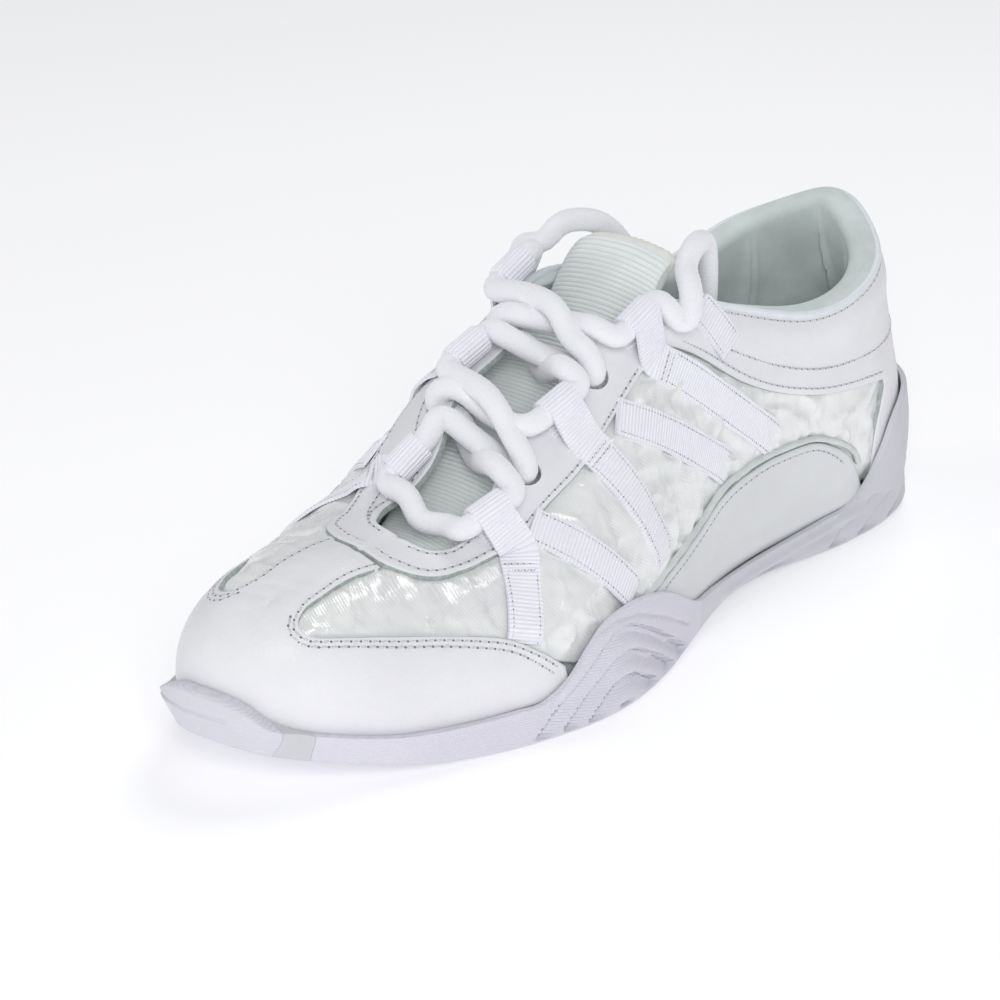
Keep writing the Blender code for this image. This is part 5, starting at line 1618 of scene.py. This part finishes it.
def build_ribbons():
    for side, suffix in SIDES:
        for name, low, top_q in BANDS:
            own = top_q if side > 0 else TURN - top_q
            top_v = edge_rib(top_q, side) - LOOP_RISE / rib_scale(own)
            points, _ = laid(side, low, (top_q, top_v))
            flat_length = np.linalg.norm(np.diff(points, axis=0), axis=1).sum()
            centre, loop = loop_round(side, top_q)
            inward = centre - loop[-1]
            under = loop[-1:] + (points[-1] - loop[-1]) * 0.45 - unit(inward) * 0.3
            run = through(np.vstack([points[::6], points[-1:], loop, under]), 0.5)
            run = relaxed(run, 12)
            way = np.gradient(run, axis=0)
            way = unit(way)
            axis = np.cross(loop[3] - centre, way[int(np.argmin(np.linalg.norm(run - loop[3], axis=1)))])
            axis = unit(axis)
            flat_side = np.cross(points[-1] - points[0], normals([low[0] * side], [low[1]])[0])
            flat_side = unit(flat_side)
            axis = axis * np.sign(axis.dot(flat_side))
            gap = travelled(run)
            mix = ease(gap, flat_length * 0.3, flat_length + 3.0)[:, None]
            side_way = flat_side * (1 - mix) + axis * mix
            lift = np.cross(side_way, way)
            outer = lift[:20].mean(0).dot(normals([low[0] * side], [low[1]])[0])
            item = ribbon_body(name + "_band" + suffix, run, lift * np.sign(outer), RIBBON_W, RIBBON_T,
                               (0.5, flat_length - 6.0), flat_length - 5.0)
            settle(item, SHOE, "ribbon", name + suffix)
        for name, start, end in CROSS_BANDS:
            points, ups = laid(side, end, start)
            item = ribbon_body(name + "_band" + suffix, points, ups, RIBBON_W, RIBBON_T, (0.8, 99))
            settle(item, SHOE, "ribbon", name + suffix)


# ---- tongue

def tongue_grid(depth, width, fine_rows, fine_columns):
    rows = np.array(tongue_rows())
    centre = rows.mean(axis=1, keepdims=True)
    rows = centre + (rows - centre) * width
    along = np.gradient(rows, axis=0)
    across = np.gradient(rows, axis=1)
    up = np.cross(across, along)
    up = unit(up)
    up = up * np.sign(up[:, :, 2:3].mean())
    rows = rows + up * depth
    long_way = [through(rows[:, k], 1.0) for k in range(rows.shape[1])]
    long_way = np.array([resampled(run, fine_rows) for run in long_way])
    grid = np.array([resampled(through(long_way[:, i], 0.5), fine_columns) for i in range(fine_rows)])
    return grid


def resampled(run, count):
    gap = travelled(run)
    at = np.linspace(0, gap[-1], count)
    return np.stack([np.interp(at, gap, run[:, k]) for k in range(3)], -1)


def grid_up(grid):
    up = np.cross(np.gradient(grid, axis=1), np.gradient(grid, axis=0))
    up = unit(up)
    return up * np.sign(up[:, :, 2:3].mean())


def shell(name, grid, low, high, mats, uv=None):
    """Closed body between two offsets (rows, columns) of a grid along its normals."""
    up = grid_up(grid)
    top = grid + up * high[:, :, None]
    under = grid + up * low[:, :, None]
    ring = np.concatenate([top, under[:, ::-1]], axis=1)
    verts, faces = skin_grid(ring)
    return solid(name, verts, faces, mats, sharp=60, uv=uv)


def build_tongue():
    rows, columns = KNIT_GRID
    grid = tongue_grid(0.0, 0.97, rows, columns)
    gap = np.linalg.norm(np.diff(grid[:, columns // 2], axis=0), axis=1)
    s = np.concatenate([[0], np.cumsum(gap)])[:, None]
    k = np.linspace(-1, 1, columns)[None, :]
    side_fall = np.sqrt(np.clip(1 - np.abs(k) ** 6, 0, 1))
    rib = 0.34 * np.abs(np.sin(math.pi * s / KNIT_PITCH)) ** 0.8
    ends = ease(s, 0, 2.5) * ease(s[-1, 0] - s, 0, 2.0)
    pad = 1.9 + 0.8 * side_fall * ends + 0.0 * s
    high = pad + (rib + 0.15 * fuzz(grid.reshape(-1, 3), 6, 31).reshape(grid.shape[:2])) * side_fall
    low = np.full_like(high, 1.75)
    uv = np.stack(np.broadcast_arrays(np.hstack([s, s]).mean(1)[:, None] / 10, np.zeros(2 * columns)), -1)
    item = shell("tongue_knit_face", grid, low, high, [KNIT_MAT], uv.reshape(-1, 2))
    settle(item, TONGUE, "knit", "tongue_knit")
    grid = tongue_grid(0.0, 1.0, *PAD_GRID)
    k = np.linspace(-1, 1, PAD_GRID[1])[None, :]
    side_fall = np.sqrt(np.clip(1 - np.abs(k) ** 4, 0, 1))
    high = 0.5 + 1.1 * side_fall + np.zeros((PAD_GRID[0], 1))
    low = -1.2 - 2.4 * side_fall + 0.3 * fuzz(grid.reshape(-1, 3), 7, 32).reshape(PAD_GRID)
    item = shell("tongue_padding", grid, low, high, [LINING_MAT])
    settle(item, TONGUE, "lining", "tongue_pad")
    brow = tongue_grid(0.0, 1.0, 140, 61)[-3]
    ahead = np.array([0, 1.2, 0.3])
    run = through(brow + ahead, 0.6)
    way = frames(run)[0]
    angle = np.arange(16) / 16 * 2 * math.pi
    gap = travelled(run)
    taper = 1 - 0.3 * (1 - ease(gap, 0, 3) * ease(gap[-1] - gap, 0, 3))
    wide = (3.0 + 0.15 * np.sin(gap * 3.2)) * taper
    down = np.array([0, -0.85, -0.5])
    down = unit(down)
    thin_way = np.cross(way, down)
    thin_way = unit(thin_way)
    profile = np.stack([np.cos(angle)[None, :] * wide[:, None],
                        np.sign(np.sin(angle)) * np.abs(np.sin(angle)) ** 0.6 * (2.3 * taper)[:, None]], -1)
    grid = swept(run, np.tile(down, (len(run), 1)), thin_way, profile)
    verts, faces = skin_grid(grid)
    item = solid("tongue_tape", verts, faces, [BINDING_MAT], sharp=60)
    settle(item, TONGUE, "binding", "tongue_binding")


# ---- lace

LACE_STEP = 0.55
LACE_ROUNDS = 30
TIP_RUN = (-0.6, 12.2)


def lace_route():
    one = half_lace(1, False)
    other = half_lace(-1, True)
    bar = [beside(4.33, 1, -4.0, 2.6), middle(4.2, 1.6), beside(4.33, -1, -4.0, 4.4)]
    run = through(np.array(list(reversed(one)) + bar + other), LACE_STEP)
    return even(relaxed(run, LACE_ROUNDS), LACE_STEP)


def lace_surface(s, a):
    """Braid: two crossing spirals."""
    braid = np.abs(np.sin(s * 2.0 + a * 3)) * np.abs(np.sin(s * 2.0 - a * 3))
    return 0.16 * braid - 0.06


def build_lace():
    run = lace_route()
    gap = travelled(run)
    radius = LACE_D / 2 * (1 + 0.07 * fuzz(np.stack([gap, 0 * gap, 0 * gap], -1), 9, 41))
    lace = cord_mesh("lace_cord", run, radius, [LACE_MAT], 24, lace_surface)
    settle(lace, SHOE, "lace", "lace")
    for end, before, name in ((run[0], run[3], "medial"), (run[-1], run[-4], "lateral")):
        way = unit(end - before)
        steps = np.linspace(*TIP_RUN, 30)
        line = end + way * steps[:, None]
        size = np.interp(steps, [-0.6, 0.4, 1.0, 11.2, 12.2], [2.3, 2.0, 1.7, 1.6, 0.9])
        tip = cord_mesh("lace_tip_" + name, line, size, [AGLET_MAT], 14)
        settle(tip, SHOE, "aglet", "aglet_" + name)


# ---- stage, light and camera

CAMERA = (0.4886, -0.5847, 0.3348)
AIM = (-0.0083, -0.0140, 0.0321)
LENS = 122.1
FLOOR_GLOW = 0.27
FLOOR_DROP = 0.0002
WORLD_LIGHT = 0.4
LIGHTS = (("key", (0.75, -0.75, 0.62), 0.5, 5.4), ("side", (-0.75, -0.85, 0.35), 0.6, 2.0),
          ("top", (-0.1, 0.45, 0.95), 0.5, 2.2))


def build_stage():
    bm = bmesh.new()
    bmesh.ops.create_grid(bm, x_segments=24, y_segments=24, size=3.0)
    mesh = bpy.data.meshes.new("floor")
    bm.to_mesh(mesh)
    bm.free()
    floor = placed("floor", mesh)
    floor.location.z = -FLOOR_DROP
    look = Look("floor", (0.93, 0.93, 0.94), 0.9)
    look.tint(look.noise(200, 2), (0.925, 0.925, 0.935))
    look.shader.inputs["Emission Color"].default_value = (1, 1, 1, 1)
    look.shader.inputs["Emission Strength"].default_value = FLOOR_GLOW
    mesh.materials.append(look.mat)
    world = bpy.data.worlds.new("studio")
    bpy.context.scene.world = world
    world.use_nodes = True
    back = world.node_tree.nodes["Background"]
    back.inputs["Color"].default_value = (0.95, 0.96, 1.0, 1)
    back.inputs["Strength"].default_value = WORLD_LIGHT
    for name, place, size, power in LIGHTS:
        light = bpy.data.lights.new(name, "AREA")
        light.size = size
        light.energy = power
        item = placed(name, light)
        item.location = place
        item.rotation_euler = (Vector((0, 0, 0.03)) - Vector(place)).to_track_quat("-Z", "Y").to_euler()
    data = bpy.data.cameras.new("camera")
    data.lens = LENS
    data.sensor_width = 36.0
    data.clip_start = 0.01
    camera = placed("camera", data)
    camera.location = CAMERA
    camera.rotation_euler = (Vector(AIM) - Vector(CAMERA)).to_track_quat("-Z", "Y").to_euler()
    bpy.context.scene.camera = camera
    bpy.context.scene.view_settings.view_transform = "Standard"


build_stage()
build_lace()
build_sole()
build_panels()
build_collar()
build_ribbons()
build_tongue()
build_stitches()
threads()
